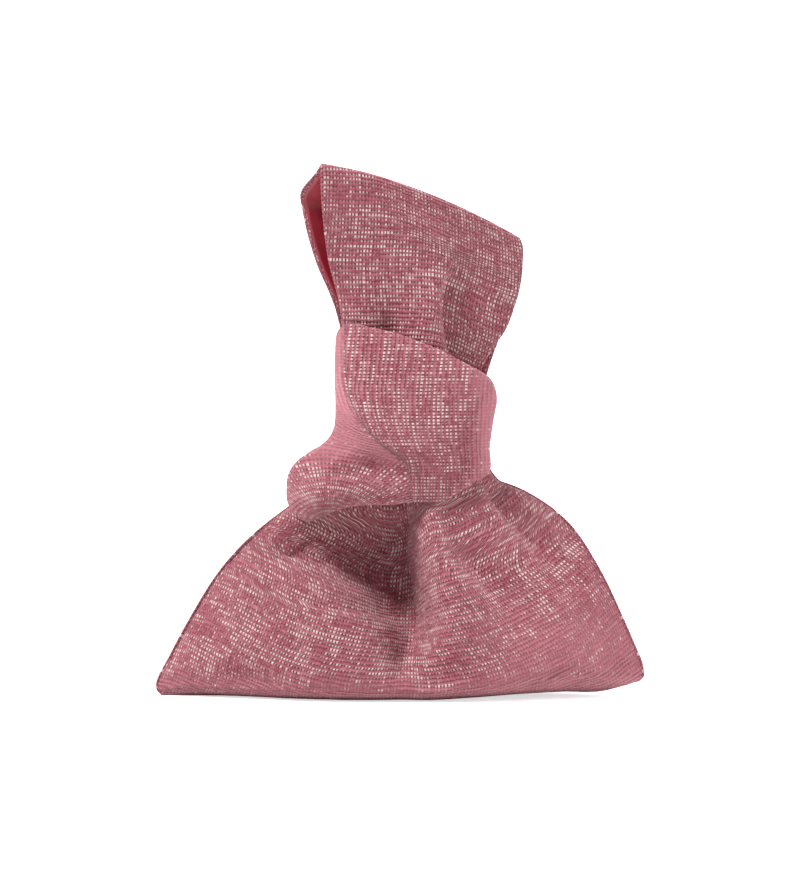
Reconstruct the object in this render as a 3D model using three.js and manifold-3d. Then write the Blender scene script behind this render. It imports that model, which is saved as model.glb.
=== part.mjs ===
// A knotted fabric bag. A soft pouch is gathered at its neck, its long loop rises from the neck as a wrist
// handle, and its short loop is wrapped round the neck as a wide band, which holds the bag shut.
// Millimetres, +Z up, the front towards -Y, with the origin at the middle of the base.

import * as THREE from "three";
import { mergeVertices } from "three/addons/utils/BufferGeometryUtils.js";
import Module from "manifold-3d";

const wasm = await Module();
wasm.setup();

// Sizes of the cloth
const clothThickness = 1.6;
const liningThickness = 0.6;
const layerGap = 0.3; // what touches keeps this clearance

// Sizes of the pouch
const pouchWidth = 230;
const pouchDepth = 76;
const shoulderHeight = 96; // from the floor to the foot of the neck
const leftCornerLift = 0.9; // how far the left seamed corner curls up off the floor
const rightCornerLift = 5.4;
const baseFlat = 1.2; // how far the cloth is pressed flat where it stands
const neckOffset = 5; // the neck leans this far to the right of the middle
const neckWidth = 58;
const neckDepth = 38;
const neckHeight = 34; // length of gathered neck inside the band

// Sizes of the wrapped band
const bandWidth = 76; // width of the strip, rim to rim
const bandSlant = 21; // how much lower its top rim is on the right
const bandDepth = 64;
const bandLift = 1; // height of its bottom rim over the foot of the neck
const bandLeftReach = 6.6; // how far it stands outside the neck at the left
const bandRightReach = 8.2;
const bandRightSwell = 5.5; // how far its right side swells out where the strip turns
const lobeReach = 21; // how far its root bulges out over the left shoulder
const rimRadius = 3;
const rimCrown = 5; // how much the top rim rises at the middle of the front

// Sizes of the handle loop
const handleRise = 120; // from the neck to the highest corner
const handleSlant = 34; // how much lower the other corner is
const handleTopWidth = 94;
const topCrown = 4.7; // how much the top edge bows up at its middle
const topShift = 3; // the top fold is set this far to the right
const handleDepth = 27; // space across the loop under its top fold
const handleTwist = 15; // degrees that the loop is turned round the neck
const backSet = 11; // how far the back leg is set to the left of the front leg
const legInset = 2; // how far inside the neck's depth the two legs lie
const liningInset = 0.9; // bare margin of cloth along each edge of the loop

// Shares that shape the surfaces
const baseRound = 0.82; // how round the pouch's section is at its base, from 0.5 for an ellipse
const shoulderRound = 0.55;
const roundStart = 0.6; // the share of the pouch's side above which it turns from one to the other
const roundSpan = 0.35;
const seamSag = 2.8; // how sharply the pouch drops away from its side seams
const neckShare = 0.14; // the share of the pouch's side that rises into the neck
const cornerCurl = 0.35; // the share of the pouch's side that its corners curl
const bandSquareness = 2.6; // how square the band's section is, from 2 for an ellipse
const rimShare = 0.07; // the share of the band's height that each rim's rounding takes
const seamHold = 0.12; // the share of a side, next to each seam, where its folds fade out
const turnStart = 0.2; // the share of the handle's rise under which its legs lie side by side
const turnSpan = 0.75;
const openStart = 0.25; // the share of the handle's rise under which its legs lie shut
const openSpan = 0.6;
const topFold = 0.5; // where the top fold lies, as a share of the handle's length
const topHold = 0.1; // the share of that length, beside the top fold, where the legs' folds fade out

// Counts of the meshes
const pouchColumns = 36;
const bandColumns = 27;
const handleColumns = 12;
const handleRows = 32;
const coreRows = 11; // rows of the handle that the band can reach
const foldPoints = 24;
const sameSpot = 1e-3; // points nearer than this are one

const neckTop = shoulderHeight + neckHeight;
const halfPouch = pouchWidth / 2;
const leftNeck = neckOffset - neckWidth / 2;
const rightNeck = neckOffset + neckWidth / 2;
const bandBottom = shoulderHeight + bandLift;
const handleRoot = neckTop + layerGap;
const front = -1;
const back = 1;

const clamp01 = (t) => Math.min(Math.max(t, 0), 1);
const smooth = (t) => clamp01(t) ** 2 * (3 - 2 * clamp01(t));
const mix = (a, b, t) => a + (b - a) * t;
const evenly = (count, from, to) => Array.from({ length: count + 1 }, (_, i) => mix(from, to, i / count));
const awayFromSeams = (across) => smooth((1 - Math.abs(across)) / seamHold);

// A smooth curve through [place, value] pairs.
function through(pairs) {
  const slope = (i) => {
    const a = pairs[Math.max(i - 1, 0)];
    const b = pairs[Math.min(i + 1, pairs.length - 1)];
    return (b[1] - a[1]) / (b[0] - a[0]);
  };
  return (place) => {
    let i = 0;
    while (i < pairs.length - 2 && place > pairs[i + 1][0]) i += 1;
    const [from, start] = pairs[i];
    const [to, end] = pairs[i + 1];
    const t = clamp01((place - from) / (to - from));
    const pull = (to - from) * t * (1 - t);
    return mix(start, end, smooth(t)) + pull * ((1 - t) * slope(i) - t * slope(i + 1));
  };
}

// Folds. Each is a line on the front view of a surface, in rows of its place as shares of the surface's
// half width and height, how deep it is pressed in there, or raised if negative, and how wide its slope is
// to the right and to the left of the line, as seen going down it.

function foldLine(rows, place) {
  const reach = [0];
  for (let i = 1; i < rows.length; i += 1) {
    reach.push(reach[i - 1] + Math.hypot(rows[i][0] - rows[i - 1][0], rows[i][1] - rows[i - 1][1]));
  }
  const curves = rows[0].map((_, column) => through(rows.map((row, i) => [reach[i], row[column]])));
  return evenly(foldPoints, 0, reach[rows.length - 1]).map((at) => {
    const [shareX, shareZ, depth, right, left] = curves.map((curve) => curve(at));
    const [x, z] = place(shareX, shareZ);
    return { x, z, depth, right, left };
  });
}

function foldDepth(line, point) {
  let nearest = Infinity;
  let found = 0;
  for (let i = 0; i + 1 < line.length; i += 1) {
    const a = line[i];
    const b = line[i + 1];
    const dx = b.x - a.x;
    const dz = b.z - a.z;
    const t = clamp01(((point.x - a.x) * dx + (point.z - a.z) * dz) / (dx * dx + dz * dz));
    const ox = point.x - a.x - t * dx;
    const oz = point.z - a.z - t * dz;
    const distance = Math.hypot(ox, oz);
    if (distance < nearest) {
      nearest = distance;
      const side = (dx * oz - dz * ox) / Math.hypot(dx, dz);
      const width = mix(mix(a.left, b.left, t), mix(a.right, b.right, t), smooth(0.5 + side / 2));
      found = mix(a.depth, b.depth, t) * Math.exp(-((distance / width) ** 2));
    }
  }
  return found;
}

// The outward normal of a surface, a function of (across, up) that runs counterclockwise if outward is 1.
function normalOf(surface, across, up, outward) {
  const step = 1e-3;
  const a = Math.min(across, 1 - step);
  const b = Math.min(up, 1 - step);
  const origin = surface(a, b);
  const rightwards = surface(a + step, b).sub(origin);
  const upwards = surface(a, b + step).sub(origin);
  return rightwards.cross(upwards).normalize().multiplyScalar(outward);
}

// The surface with its folds pressed in. Hold says how much of a fold is left at a place on it.
function folded(surface, folds, { place, hold, outward = 1 }) {
  const lines = folds.map((rows) => foldLine(rows, place));
  return (across, up) => {
    const point = surface(across, up);
    const depth = lines.reduce((sum, line) => sum + foldDepth(line, point), 0) * hold(across, up);
    return point.addScaledVector(normalOf(surface, across, up, outward), -depth);
  };
}

// Closed meshes from grids of points

function meshFrom(points, faces) {
  const geometry = new THREE.BufferGeometry().setFromPoints(points).setIndex(faces);
  return mergeVertices(geometry, sameSpot);
}

// Rings of points, one above the other, closed by a fan at each open end. A first ring whose front and back
// lie on one line, as at a seam, is closed already. A shaped loft splits each square along its shorter
// diagonal.
function loft(rings, { seamedBelow = false, shaped = false } = {}) {
  const count = rings[0].length;
  const points = rings.flat();
  const faces = [];
  for (let row = 0; row + 1 < rings.length; row += 1) {
    for (let k = 0; k < count; k += 1) {
      const a = row * count + k;
      const b = row * count + ((k + 1) % count);
      const c = b + count;
      const d = a + count;
      const falling = shaped && points[b].distanceTo(points[d]) < points[a].distanceTo(points[c]);
      faces.push(...(falling ? [a, b, d, b, c, d] : [a, b, c, a, c, d]));
    }
  }
  const caps = [rings[0], rings[rings.length - 1]];
  caps.forEach((ring, end) => {
    if (seamedBelow && end === 0) return;
    const centre = ring.reduce((sum, p) => sum.add(p), new THREE.Vector3()).divideScalar(count);
    points.push(centre);
    const first = end ? (rings.length - 1) * count : 0;
    for (let k = 0; k < count; k += 1) {
      const a = first + k;
      const b = first + ((k + 1) % count);
      faces.push(...(end ? [a, b, points.length - 1] : [b, a, points.length - 1]));
    }
  });
  return meshFrom(points, faces);
}

// A strip of cloth between an outer and an inner surface, both functions of (across, along).
function strip(outer, inner, acrossPlaces, alongPlaces) {
  const rings = alongPlaces.map((along) => [
    ...acrossPlaces.map((across) => outer(across, along)),
    ...acrossPlaces.toReversed().map((across) => inner(across, along)),
  ]);
  const acrossCount = acrossPlaces.length - 1;
  const alongCount = alongPlaces.length - 1;
  const count = 2 * (acrossCount + 1);
  const points = rings.flat();
  const faces = [];
  for (let row = 0; row < alongCount; row += 1) {
    for (let k = 0; k < count; k += 1) {
      const a = row * count + k;
      const b = row * count + ((k + 1) % count);
      // Both faces split their squares along the same diagonal, so that layers lie flat on each other.
      if (k > acrossCount) faces.push(a, b, a + count, b, b + count, a + count);
      else faces.push(a, b, b + count, a, b + count, a + count);
    }
  }
  for (const [row, forward] of [[0, false], [alongCount, true]]) {
    for (let i = 0; i < acrossCount; i += 1) {
      const a = row * count + i;
      const b = row * count + i + 1;
      const c = row * count + (count - 2 - i);
      const d = row * count + (count - 1 - i);
      faces.push(...(forward ? [a, b, c, a, c, d] : [a, c, b, a, d, c]));
    }
  }
  return meshFrom(points, faces);
}

const solidOf = (geometry) =>
  new wasm.Manifold(
    new wasm.Mesh({
      numProp: 3,
      vertProperties: new Float32Array(geometry.attributes.position.array),
      triVerts: new Uint32Array(geometry.index.array),
    }),
  );

function geometryOf(solid) {
  const { vertProperties, triVerts } = solid.getMesh();
  return new THREE.BufferGeometry()
    .setAttribute("position", new THREE.BufferAttribute(vertProperties, 3))
    .setIndex(new THREE.BufferAttribute(triVerts, 1));
}

// The same closed mesh, grown outwards by a clearance.
function grown(geometry, amount) {
  const bigger = geometry.clone();
  bigger.computeVertexNormals();
  const { position, normal } = bigger.attributes;
  for (let i = 0; i < position.count; i += 1) {
    position.setXYZ(
      i,
      position.getX(i) + normal.getX(i) * amount,
      position.getY(i) + normal.getY(i) * amount,
      position.getZ(i) + normal.getZ(i) * amount,
    );
  }
  return bigger;
}

// Places round a ring, from the left seam along the front to the right seam, and home along the back. They
// crowd a little towards the seams.
function ringPlaces(count) {
  const crowding = 0.35;
  const spread = (t) => mix(2 * t - 1, -Math.cos(Math.PI * t), crowding);
  const shares = Array.from({ length: count }, (_, i) => i / count);
  return [...shares.map((t) => [front, spread(t)]), ...shares.map((t) => [back, -spread(t)])];
}

// Pouch. Across runs from the left seam to the right, and up from the bottom seam to the top of the neck.
// The seams' tables give shares of the half width outside the neck, and of the shoulder height.

const leftSeamOut = through([
  [0, 0.965], [0.05, 1], [0.12, 0.985], [0.2, 0.94], [0.33, 0.85], [0.5, 0.68], [0.65, 0.51], [0.8, 0.31],
  [0.9, 0.11], [1, 0],
]);
const leftSeamUp = through([
  [0, 0], [0.05, 0.04], [0.12, 0.1], [0.2, 0.18], [0.33, 0.34], [0.5, 0.6], [0.65, 0.78], [0.8, 0.93],
  [0.9, 1.06], [1, 1],
]);
const rightSeamOut = through([
  [0, 0.975], [0.05, 1], [0.12, 0.99], [0.2, 0.955], [0.33, 0.87], [0.5, 0.73], [0.65, 0.56], [0.8, 0.32],
  [0.9, 0.1], [1, 0],
]);
const rightSeamUp = through([
  [0, 0.03], [0.05, 0.06], [0.12, 0.13], [0.2, 0.22], [0.33, 0.4], [0.5, 0.64], [0.65, 0.84], [0.8, 1.01],
  [0.9, 1.12], [1, 1],
]);
const middleUp = through([
  [0, 0], [0.06, 0], [0.12, 0], [0.2, 0.03], [0.33, 0.15], [0.5, 0.37], [0.65, 0.6], [0.8, 0.87], [0.9, 1.04],
  [1, 1],
]);
const fullness = through([
  [0, 0], [0.05, 0.42], [0.12, 0.8], [0.2, 0.96], [0.33, 1], [0.5, 0.95], [0.65, 0.84], [0.8, 0.7],
  [0.9, 0.57], [1, 0.5],
]);

function pouchSide(side) {
  return (across, up) => {
    const neck = smooth((up - 1 + neckShare) / neckShare);
    const heightOf = (share) => mix(share * shoulderHeight, neckTop, neck);
    const gone = 1 - across ** 2;
    const curl = 1 - smooth(up / cornerCurl);
    const left = mix(leftNeck, -halfPouch, leftSeamOut(up));
    const right = mix(rightNeck, halfPouch, rightSeamOut(up));
    const seamHeight = mix(
      heightOf(leftSeamUp(up)) + leftCornerLift * curl,
      heightOf(rightSeamUp(up)) + rightCornerLift * curl,
      (1 + across) / 2,
    );
    const sag = mix(1 - Math.abs(across) ** seamSag, gone, neck);
    const height = mix(seamHeight, heightOf(middleUp(up)), sag);
    const roundness = mix(baseRound, shoulderRound, smooth((up - roundStart) / roundSpan));
    const depth = mix(fullness(up) * pouchDepth, neckDepth, neck) / 2;
    const pressed = Math.max(0, height - baseFlat);
    const x = mix(left, right, (1 + across) / 2);
    return new THREE.Vector3(x, side * depth * gone ** roundness, mix(pressed, height, smooth(2 * up)));
  };
}

const pouchFrontFolds = [
  // the hollow under the band, steep on its right
  [
    [0.03, 1.04, 14, 11, 22], [0.03, 0.92, 26, 6, 34], [0.03, 0.78, 31, 5, 36], [0.05, 0.65, 31, 6, 32],
    [0.07, 0.54, 30, 7, 26], [0.08, 0.44, 27, 8, 20], [0.07, 0.34, 20, 8, 15], [0.035, 0.26, 11, 8, 12],
    [0, 0.18, 3, 8.5, 10], [-0.02, 0.13, 0, 8, 8],
  ],
  // the ridge to the right of it
  [
    [0.1, 0.97, -3, 9, 4.5], [0.13, 0.83, -5, 10, 4.5], [0.17, 0.68, -6, 11, 4.5], [0.22, 0.54, -6, 11, 4.5],
    [0.25, 0.44, -4, 12, 4.7], [0.22, 0.31, -1, 12, 5.6],
  ],
  // the cloth that folds over under the band, and the groove under its edge
  [
    [-0.41, 0.87, -3, 5.6, 4.5], [-0.29, 0.88, -6, 6, 4.5], [-0.16, 0.91, -8, 6.6, 4.5],
    [-0.04, 0.95, -8, 6.6, 4.5], [0.06, 0.97, -4, 5.6, 4.5],
  ],
  [
    [-0.25, 0.79, 1, 4.5, 6.6], [-0.16, 0.82, 4, 4.5, 7], [-0.06, 0.87, 6, 4.5, 7], [0.02, 0.92, 6, 4.5, 6.6],
    [0.07, 0.96, 4, 4.5, 5.6],
  ],
  // the gather that hooks round at the left
  [
    [-0.29, 0.94, 3, 5.6, 4.5], [-0.41, 0.83, 4, 5.6, 4.5], [-0.48, 0.73, 4, 5.6, 4.5],
    [-0.46, 0.66, 3, 5.6, 4.5], [-0.33, 0.56, 1, 6.6, 5.6],
  ],
  // the creases at the right
  [
    [0.4, 0.98, 4, 7.5, 4.5], [0.43, 0.92, 5, 8.5, 4.5], [0.47, 0.86, 5, 9.4, 4.5], [0.52, 0.79, 4, 9.4, 4.5],
    [0.58, 0.73, 2.5, 8.5, 4.5], [0.64, 0.68, 0.5, 7.5, 4.5],
  ],
  [
    [0.16, 0.88, 1, 7, 7], [0.19, 0.75, 3, 7, 7], [0.26, 0.68, 4, 7.5, 7], [0.34, 0.61, 4, 8, 7],
    [0.41, 0.53, 3.5, 8, 7], [0.47, 0.45, 2, 8, 7], [0.53, 0.37, 0, 8, 7],
  ],
  // the dent beside the left corner
  [[-0.73, 0.11, 1, 7.5, 5.6], [-0.63, 0.1, 3, 7.5, 5.6], [-0.54, 0.08, 1.5, 8.5, 5.6]],
];

const pouchBackFolds = [
  [[-0.02, 1, 7, 14, 10], [-0.01, 0.75, 7, 14, 10], [0.02, 0.5, 5, 12, 10], [0.02, 0.25, 0, 10, 10]],
  [[-0.2, 1, 6, 10, 7], [-0.26, 0.75, 6, 10, 7], [-0.38, 0.45, 0, 9, 8]],
  [[0.24, 1, 7, 7, 10], [0.29, 0.75, 6, 7, 10], [0.42, 0.45, 0, 8, 9]],
  [[-0.11, 0.95, -3, 7, 7], [-0.15, 0.7, -3, 8, 8], [-0.2, 0.45, 0, 8, 8]],
  [[0.13, 0.95, -3, 7, 7], [0.15, 0.7, -3, 8, 8], [0.2, 0.45, 0, 8, 8]],
];

const pouchLevels = [0, 0.03, 0.07, ...evenly(25, 0.11, 0.9), 0.95, 1];

function pouchGeometry() {
  const place = (x, z) => [x * halfPouch, z * shoulderHeight];
  const hold = (across, up) => awayFromSeams(across) * smooth(up / seamHold);
  const sides = {
    [front]: folded(pouchSide(front), pouchFrontFolds, { place, hold, outward: 1 }),
    [back]: folded(pouchSide(back), pouchBackFolds, { place, hold, outward: -1 }),
  };
  const rings = pouchLevels.map((up) =>
    ringPlaces(pouchColumns).map(([side, across]) => {
      const point = sides[side](across, up);
      return point.setZ(Math.max(point.z, 0));
    }),
  );
  return loft(rings, { seamedBelow: true, shaped: true });
}

// Handle. Across runs from the left edge to the right, and along from the root of the front leg, over the
// top fold, to the root of the back leg. Two tables give shares of the half depth and of the rise on the way.

const loopDepth = through([
  [0, -1], [0.2, -1], [0.38, -1], [0.45, -0.9], [0.5, 0], [0.55, 0.9], [0.62, 1], [0.8, 1], [1, 1],
]);
const loopRise = through([
  [0, 0], [0.2, 0.46], [0.38, 0.88], [0.45, 1], [0.5, 0.965], [0.55, 0.915], [0.62, 0.8], [0.8, 0.42], [1, 0],
]);
const leftEdgeOut = through([[0, 0], [0.43, 0.25], [0.63, 0.6], [0.86, 0.78], [1, 0.8]]);
const rightEdgeOut = through([
  [0, 0], [0.26, 0.33], [0.35, 0.42], [0.49, 0.63], [0.65, 0.89], [0.79, 1.06], [0.93, 1.13], [1, 1.08],
]);

function handleLoop(across, along) {
  const edgeGap = clothThickness + liningThickness + 2 * layerGap;
  const rise = loopRise(along);
  const turned = smooth((rise - turnStart) / turnSpan);
  const widening = (handleTopWidth - neckWidth) / 2;
  const left = leftNeck - (widening - topShift) * leftEdgeOut(rise);
  const right = rightNeck + (widening + topShift) * rightEdgeOut(rise);
  const set = backSet * smooth((loopDepth(along) + 1) / 2) * turned;
  const x = mix(left, right, (1 + across) / 2) - set;
  const bow = 1 - across ** 2;
  const top = handleRise - handleSlant * (1 + across) / 2 + topCrown * bow;
  const closed = edgeGap + (neckDepth / 2 - edgeGap - legInset) * bow;
  const open = mix(closed, handleDepth / 2, smooth((rise - openStart) / openSpan));
  const turn = Math.tan(THREE.MathUtils.degToRad(handleTwist)) * turned;
  return new THREE.Vector3(x, loopDepth(along) * open + (x - neckOffset) * turn, handleRoot + top * rise);
}

const handleFrontFolds = [
  // the pleat that runs down into the band, with the cloth to its right set back
  [
    [0.45, 0.64, 0, 14, 9], [0.39, 0.57, 3, 16, 9], [0.35, 0.5, 5, 18, 9], [0.35, 0.43, 6, 20, 9],
    [0.37, 0.36, 6, 21, 9], [0.41, 0.28, 6, 21, 9],
  ],
  // the soft diagonal ridge that ends in it
  [
    [-0.39, 0.96, -0.5, 8, 12], [-0.11, 0.81, -1.5, 8, 12], [0.2, 0.7, -2, 8, 11], [0.36, 0.62, -2, 8, 9],
    [0.24, 0.53, -2, 8, 9], [0.2, 0.43, -1.5, 8, 9],
  ],
  // the dimple over the band
  [[-0.21, 0.49, 0.5, 7.5, 7.5], [-0.2, 0.43, 3.5, 7.5, 7.5], [-0.19, 0.34, 5, 7.5, 7.5]],
];

const handleBackFolds = [
  [[-0.25, 0.15, 5, 12, 8], [-0.22, 0.4, 3, 12, 8], [-0.25, 0.65, 0, 10, 8]],
  [[0.4, 0.12, 4, 9, 9], [0.45, 0.35, 2.5, 9, 9], [0.4, 0.55, 0, 9, 9]],
];

const handlePlace = (x, z) => [neckOffset + (x * handleTopWidth) / 2, handleRoot + z * handleRise];
const handleFront = folded(handleLoop, handleFrontFolds, {
  place: handlePlace,
  hold: (across, along) => smooth((topFold - along) / topHold),
});
const handleBack = folded(handleLoop, handleBackFolds, {
  place: handlePlace,
  hold: (across, along) => smooth((along - topFold) / topHold),
});

const handleCloth = (across, along) => (along < topFold ? handleFront : handleBack)(across, along);

// The handle's surface moved inwards by a distance.
const handleInside = (distance) => (across, along) =>
  handleCloth(across, along).addScaledVector(normalOf(handleCloth, across, along, 1), -distance);

const acrossPlaces = evenly(handleColumns, -1, 1);
const alongPlaces = evenly(handleRows, 0, 1);

function handleGeometry() {
  return strip(handleCloth, handleInside(clothThickness), acrossPlaces, alongPlaces);
}

function liningGeometry() {
  const under = clothThickness + layerGap;
  const edge = 1 - (2 * liningInset) / handleTopWidth;
  return strip(
    handleInside(under),
    handleInside(under + liningThickness),
    [-edge, ...acrossPlaces.slice(1, -1), edge],
    alongPlaces.slice(1, -1),
  );
}

// Everything between the two legs, from their root to above the band, as the band sees it.
function handleCore() {
  const rings = alongPlaces.slice(0, coreRows).map((along) => [
    ...acrossPlaces.map((across) => handleCloth(across, along)),
    ...acrossPlaces.toReversed().map((across) => handleCloth(across, 1 - along)),
  ]);
  return loft(rings);
}

// Band. Across runs from its left silhouette to its right, and up from the bottom rim to the top rim.

const bandLeftOut = through([
  [0, 1], [0.08, 1.09], [0.16, 1.1], [0.24, 1.05], [0.31, 0.88], [0.38, 0.6], [0.45, 0.25], [0.52, 0.05],
  [0.62, 0], [0.78, 0.02], [0.9, 0], [1, -0.03],
]);
const bandLeftUp = through([
  [0, -0.14], [0.08, -0.06], [0.16, 0.03], [0.24, 0.11], [0.31, 0.18], [0.38, 0.24], [0.45, 0.3],
  [0.52, 0.38], [0.62, 0.5], [0.78, 0.72], [0.9, 0.9], [1, 1.02],
]);
const bandRightOut = through([
  [0, -0.15], [0.1, 0.15], [0.35, 0.08], [0.58, 0.42], [0.74, 0.68], [0.88, 0.42], [1, -0.3],
]);
const bandRightUp = through([
  [0, 0.12], [0.1, 0.2], [0.35, 0.38], [0.58, 0.63], [0.74, 0.78], [0.88, 0.91], [1, 1.02],
]);
const bottomRimRise = through([
  [-1, 0], [-0.9, -4], [-0.75, -3.8], [-0.6, -0.8], [-0.44, 0.6], [-0.19, -1], [0.24, -4.4], [0.56, -7],
  [0.72, -5.2], [0.85, -2.5], [1, 0],
]);
const bandDepthShare = through([[0, 0.9], [0.15, 1], [0.4, 1], [0.7, 0.9], [0.9, 0.76], [1, 0.68]]);

function bandSide(side) {
  return (across, up) => {
    const gone = Math.max(0, 1 - Math.abs(across) ** bandSquareness);
    const left = leftNeck - bandLeftReach - lobeReach * bandLeftOut(up);
    const right = rightNeck + bandRightReach + bandRightSwell * bandRightOut(up);
    const leftHeight = bandBottom + bandWidth * bandLeftUp(up);
    const rightHeight = bandBottom + (bandWidth - bandSlant) * bandRightUp(up);
    const rim = mix(bottomRimRise(across), rimCrown * (1 - across ** 2), smooth(up));
    const rounding = Math.max(0, 1 - Math.min(up, 1 - up) / rimShare);
    const edge = rimRadius * (1 - Math.sqrt(1 - rounding ** 2));
    const depth = (bandDepth / 2) * bandDepthShare(up) - edge;
    const half = (right - left) / 2 - edge;
    return new THREE.Vector3(
      (left + right) / 2 + half * across,
      side * depth * Math.sqrt(gone),
      mix(leftHeight, rightHeight, (1 + across) / 2) + rim,
    );
  };
}

const bandFrontFolds = [
  // the edge where the strip turns, and the hollow beside it
  [
    [-0.8, 1.06, -2, 13, 4.5], [-0.8, 0.88, -2.5, 13, 4.5], [-0.79, 0.66, -3, 12, 4.5],
    [-0.68, 0.54, -3.5, 12, 4.5], [-0.5, 0.39, -3.5, 11, 4.5], [-0.28, 0.28, -3, 10, 4.5],
    [-0.03, 0.19, -1.5, 9, 4.5], [0.07, 0.08, -0.5, 8, 4.5],
  ],
  [[-0.9, 0.61, 0.5, 4.5, 6.6], [-0.77, 0.42, 2, 4.5, 7], [-0.58, 0.3, 2, 4.5, 7], [-0.35, 0.22, 1, 4.5, 6]],
  // the hollow that swirls round the lobe, and the lobe
  [
    [-1.3, 0.06, 1, 5, 5], [-1, 0.12, 3, 5.5, 5], [-0.65, 0.14, 4.5, 6, 5], [-0.38, 0.14, 5.5, 6, 5],
    [-0.13, 0.1, 4.5, 5, 4.5], [0.04, 0.06, 2, 4.5, 4.7],
  ],
  [
    [-1.52, 0.01, -1, 7.5, 7.5], [-1.12, 0, -2.5, 6.5, 7.5], [-0.69, 0, -2.5, 6, 7.5],
    [-0.23, -0.01, -1.5, 5.6, 6.6],
  ],
  [[0.36, 0.82, 0.5, 9, 9], [0.31, 0.57, 1.8, 10, 10], [0.44, 0.33, 1, 10, 10]],
];

const bandBackFolds = [
  [[0.75, 0.75, 4, 9, 9], [0.6, 0.6, 4, 9, 9], [0.2, 0.42, 3, 9, 9], [-0.2, 0.25, 0, 9, 9]],
  [[-1.1, 0.12, 3, 8, 8], [-0.4, 0.15, 5, 8, 8], [0.2, 0.2, 4, 8, 8], [0.7, 0.42, 0, 8, 8]],
  [[-0.6, 0.95, 3, 8, 8], [-0.55, 0.65, 3, 8, 8], [-0.3, 0.4, 0, 8, 8]],
];

const bandLevels = [0, 0.015, 0.045, ...evenly(14, 0.09, 0.91), 0.955, 0.985, 1];

function bandGeometry(pouch) {
  const place = (x, z) => [neckOffset + (x * bandWidth) / 2, bandBottom + z * bandWidth];
  const hold = awayFromSeams;
  const sides = {
    [front]: folded(bandSide(front), bandFrontFolds, { place, hold, outward: 1 }),
    [back]: folded(bandSide(back), bandBackFolds, { place, hold, outward: -1 }),
  };
  const rings = bandLevels.map((up) =>
    ringPlaces(bandColumns).map(([side, across]) => sides[side](across, up)),
  );
  const cut = solidOf(loft(rings, { shaped: true }))
    .subtract(solidOf(grown(pouch, layerGap)))
    .subtract(solidOf(grown(handleCore(), layerGap)));
  const pieces = cut.decompose().sort((a, b) => b.volume() - a.volume());
  return geometryOf(pieces[0]);
}

// Materials

const roseCloth = new THREE.MeshStandardMaterial({ color: 0xb45a6c, roughness: 0.9, metalness: 0 });
const satin = new THREE.MeshStandardMaterial({ color: 0x9c2238, roughness: 0.5, metalness: 0 });

const bag = new THREE.Group();

function add(name, geometry, material) {
  const mesh = new THREE.Mesh(geometry, material);
  mesh.name = name;
  bag.add(mesh);
}

const pouch = pouchGeometry();
add("pouch", pouch, roseCloth);
add("knot_band", bandGeometry(pouch), roseCloth);
add("handle_loop", handleGeometry(), roseCloth);
add("handle_lining", liningGeometry(), satin);

export default bag;
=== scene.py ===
"""A knotted fabric bag: the looks of its pouch, wrapped band, wrist handle and satin lining.

The surfaces are worked out in millimetres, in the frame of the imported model, and written in metres.
Across runs from the left edge of a surface to its right, and up or along from its root.
"""

import math

import bmesh
import bpy
import numpy as np
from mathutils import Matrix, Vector, noise


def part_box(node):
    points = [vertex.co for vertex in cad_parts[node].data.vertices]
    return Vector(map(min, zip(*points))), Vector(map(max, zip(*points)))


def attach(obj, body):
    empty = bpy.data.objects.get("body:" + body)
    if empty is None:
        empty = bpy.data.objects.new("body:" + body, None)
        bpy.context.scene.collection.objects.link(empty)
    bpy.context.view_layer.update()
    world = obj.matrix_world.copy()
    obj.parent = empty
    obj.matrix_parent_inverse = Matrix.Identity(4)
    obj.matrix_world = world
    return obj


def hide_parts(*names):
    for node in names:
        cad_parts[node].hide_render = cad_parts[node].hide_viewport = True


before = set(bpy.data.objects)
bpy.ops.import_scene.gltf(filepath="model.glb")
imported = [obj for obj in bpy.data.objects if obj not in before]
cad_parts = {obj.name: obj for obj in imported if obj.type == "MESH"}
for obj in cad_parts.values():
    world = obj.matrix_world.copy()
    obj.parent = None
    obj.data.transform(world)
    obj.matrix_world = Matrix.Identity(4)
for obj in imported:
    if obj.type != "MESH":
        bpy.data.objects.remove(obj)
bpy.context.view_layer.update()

MM = 0.001
FRONT, BACK = -1, 1

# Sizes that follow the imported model
pouch_low, pouch_high = (np.array(corner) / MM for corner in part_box("pouch"))
POUCH_WIDTH = pouch_high[0] - pouch_low[0]
POUCH_DEPTH = pouch_high[1] - pouch_low[1]
NECK_TOP = pouch_high[2]

# Sizes of the pouch, millimetres
NECK_HEIGHT = 34
SHOULDER = NECK_TOP - NECK_HEIGHT
LEFT_CORNER_LIFT = 0.9
RIGHT_CORNER_LIFT = 5.4
BASE_FLAT = 1.2
NECK_OFFSET = 5
NECK_WIDTH = 58
NECK_DEPTH = 38

# Sizes of the wrapped band
BAND_WIDTH = 76
BAND_SLANT = 21
BAND_DEPTH = 64
BAND_LIFT = 1
BAND_LEFT_REACH = 6.6
BAND_RIGHT_REACH = 8.2
BAND_RIGHT_SWELL = 5.5
LOBE_REACH = 21
RIM_RADIUS = 3
RIM_CROWN = 5

# Sizes of the handle loop
LAYER_GAP = 0.3
CLOTH = 1.6
LINING = 0.6
HANDLE_ROOT = NECK_TOP + LAYER_GAP
HANDLE_RISE = 120
HANDLE_SLANT = 34
HANDLE_TOP_WIDTH = 94
TOP_CROWN = 4.7
TOP_SHIFT = 3
HANDLE_DEPTH = 27
HANDLE_TWIST = math.radians(15)
BACK_SET = 11
LEG_INSET = 2
LINING_INSET = 0.9

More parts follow.
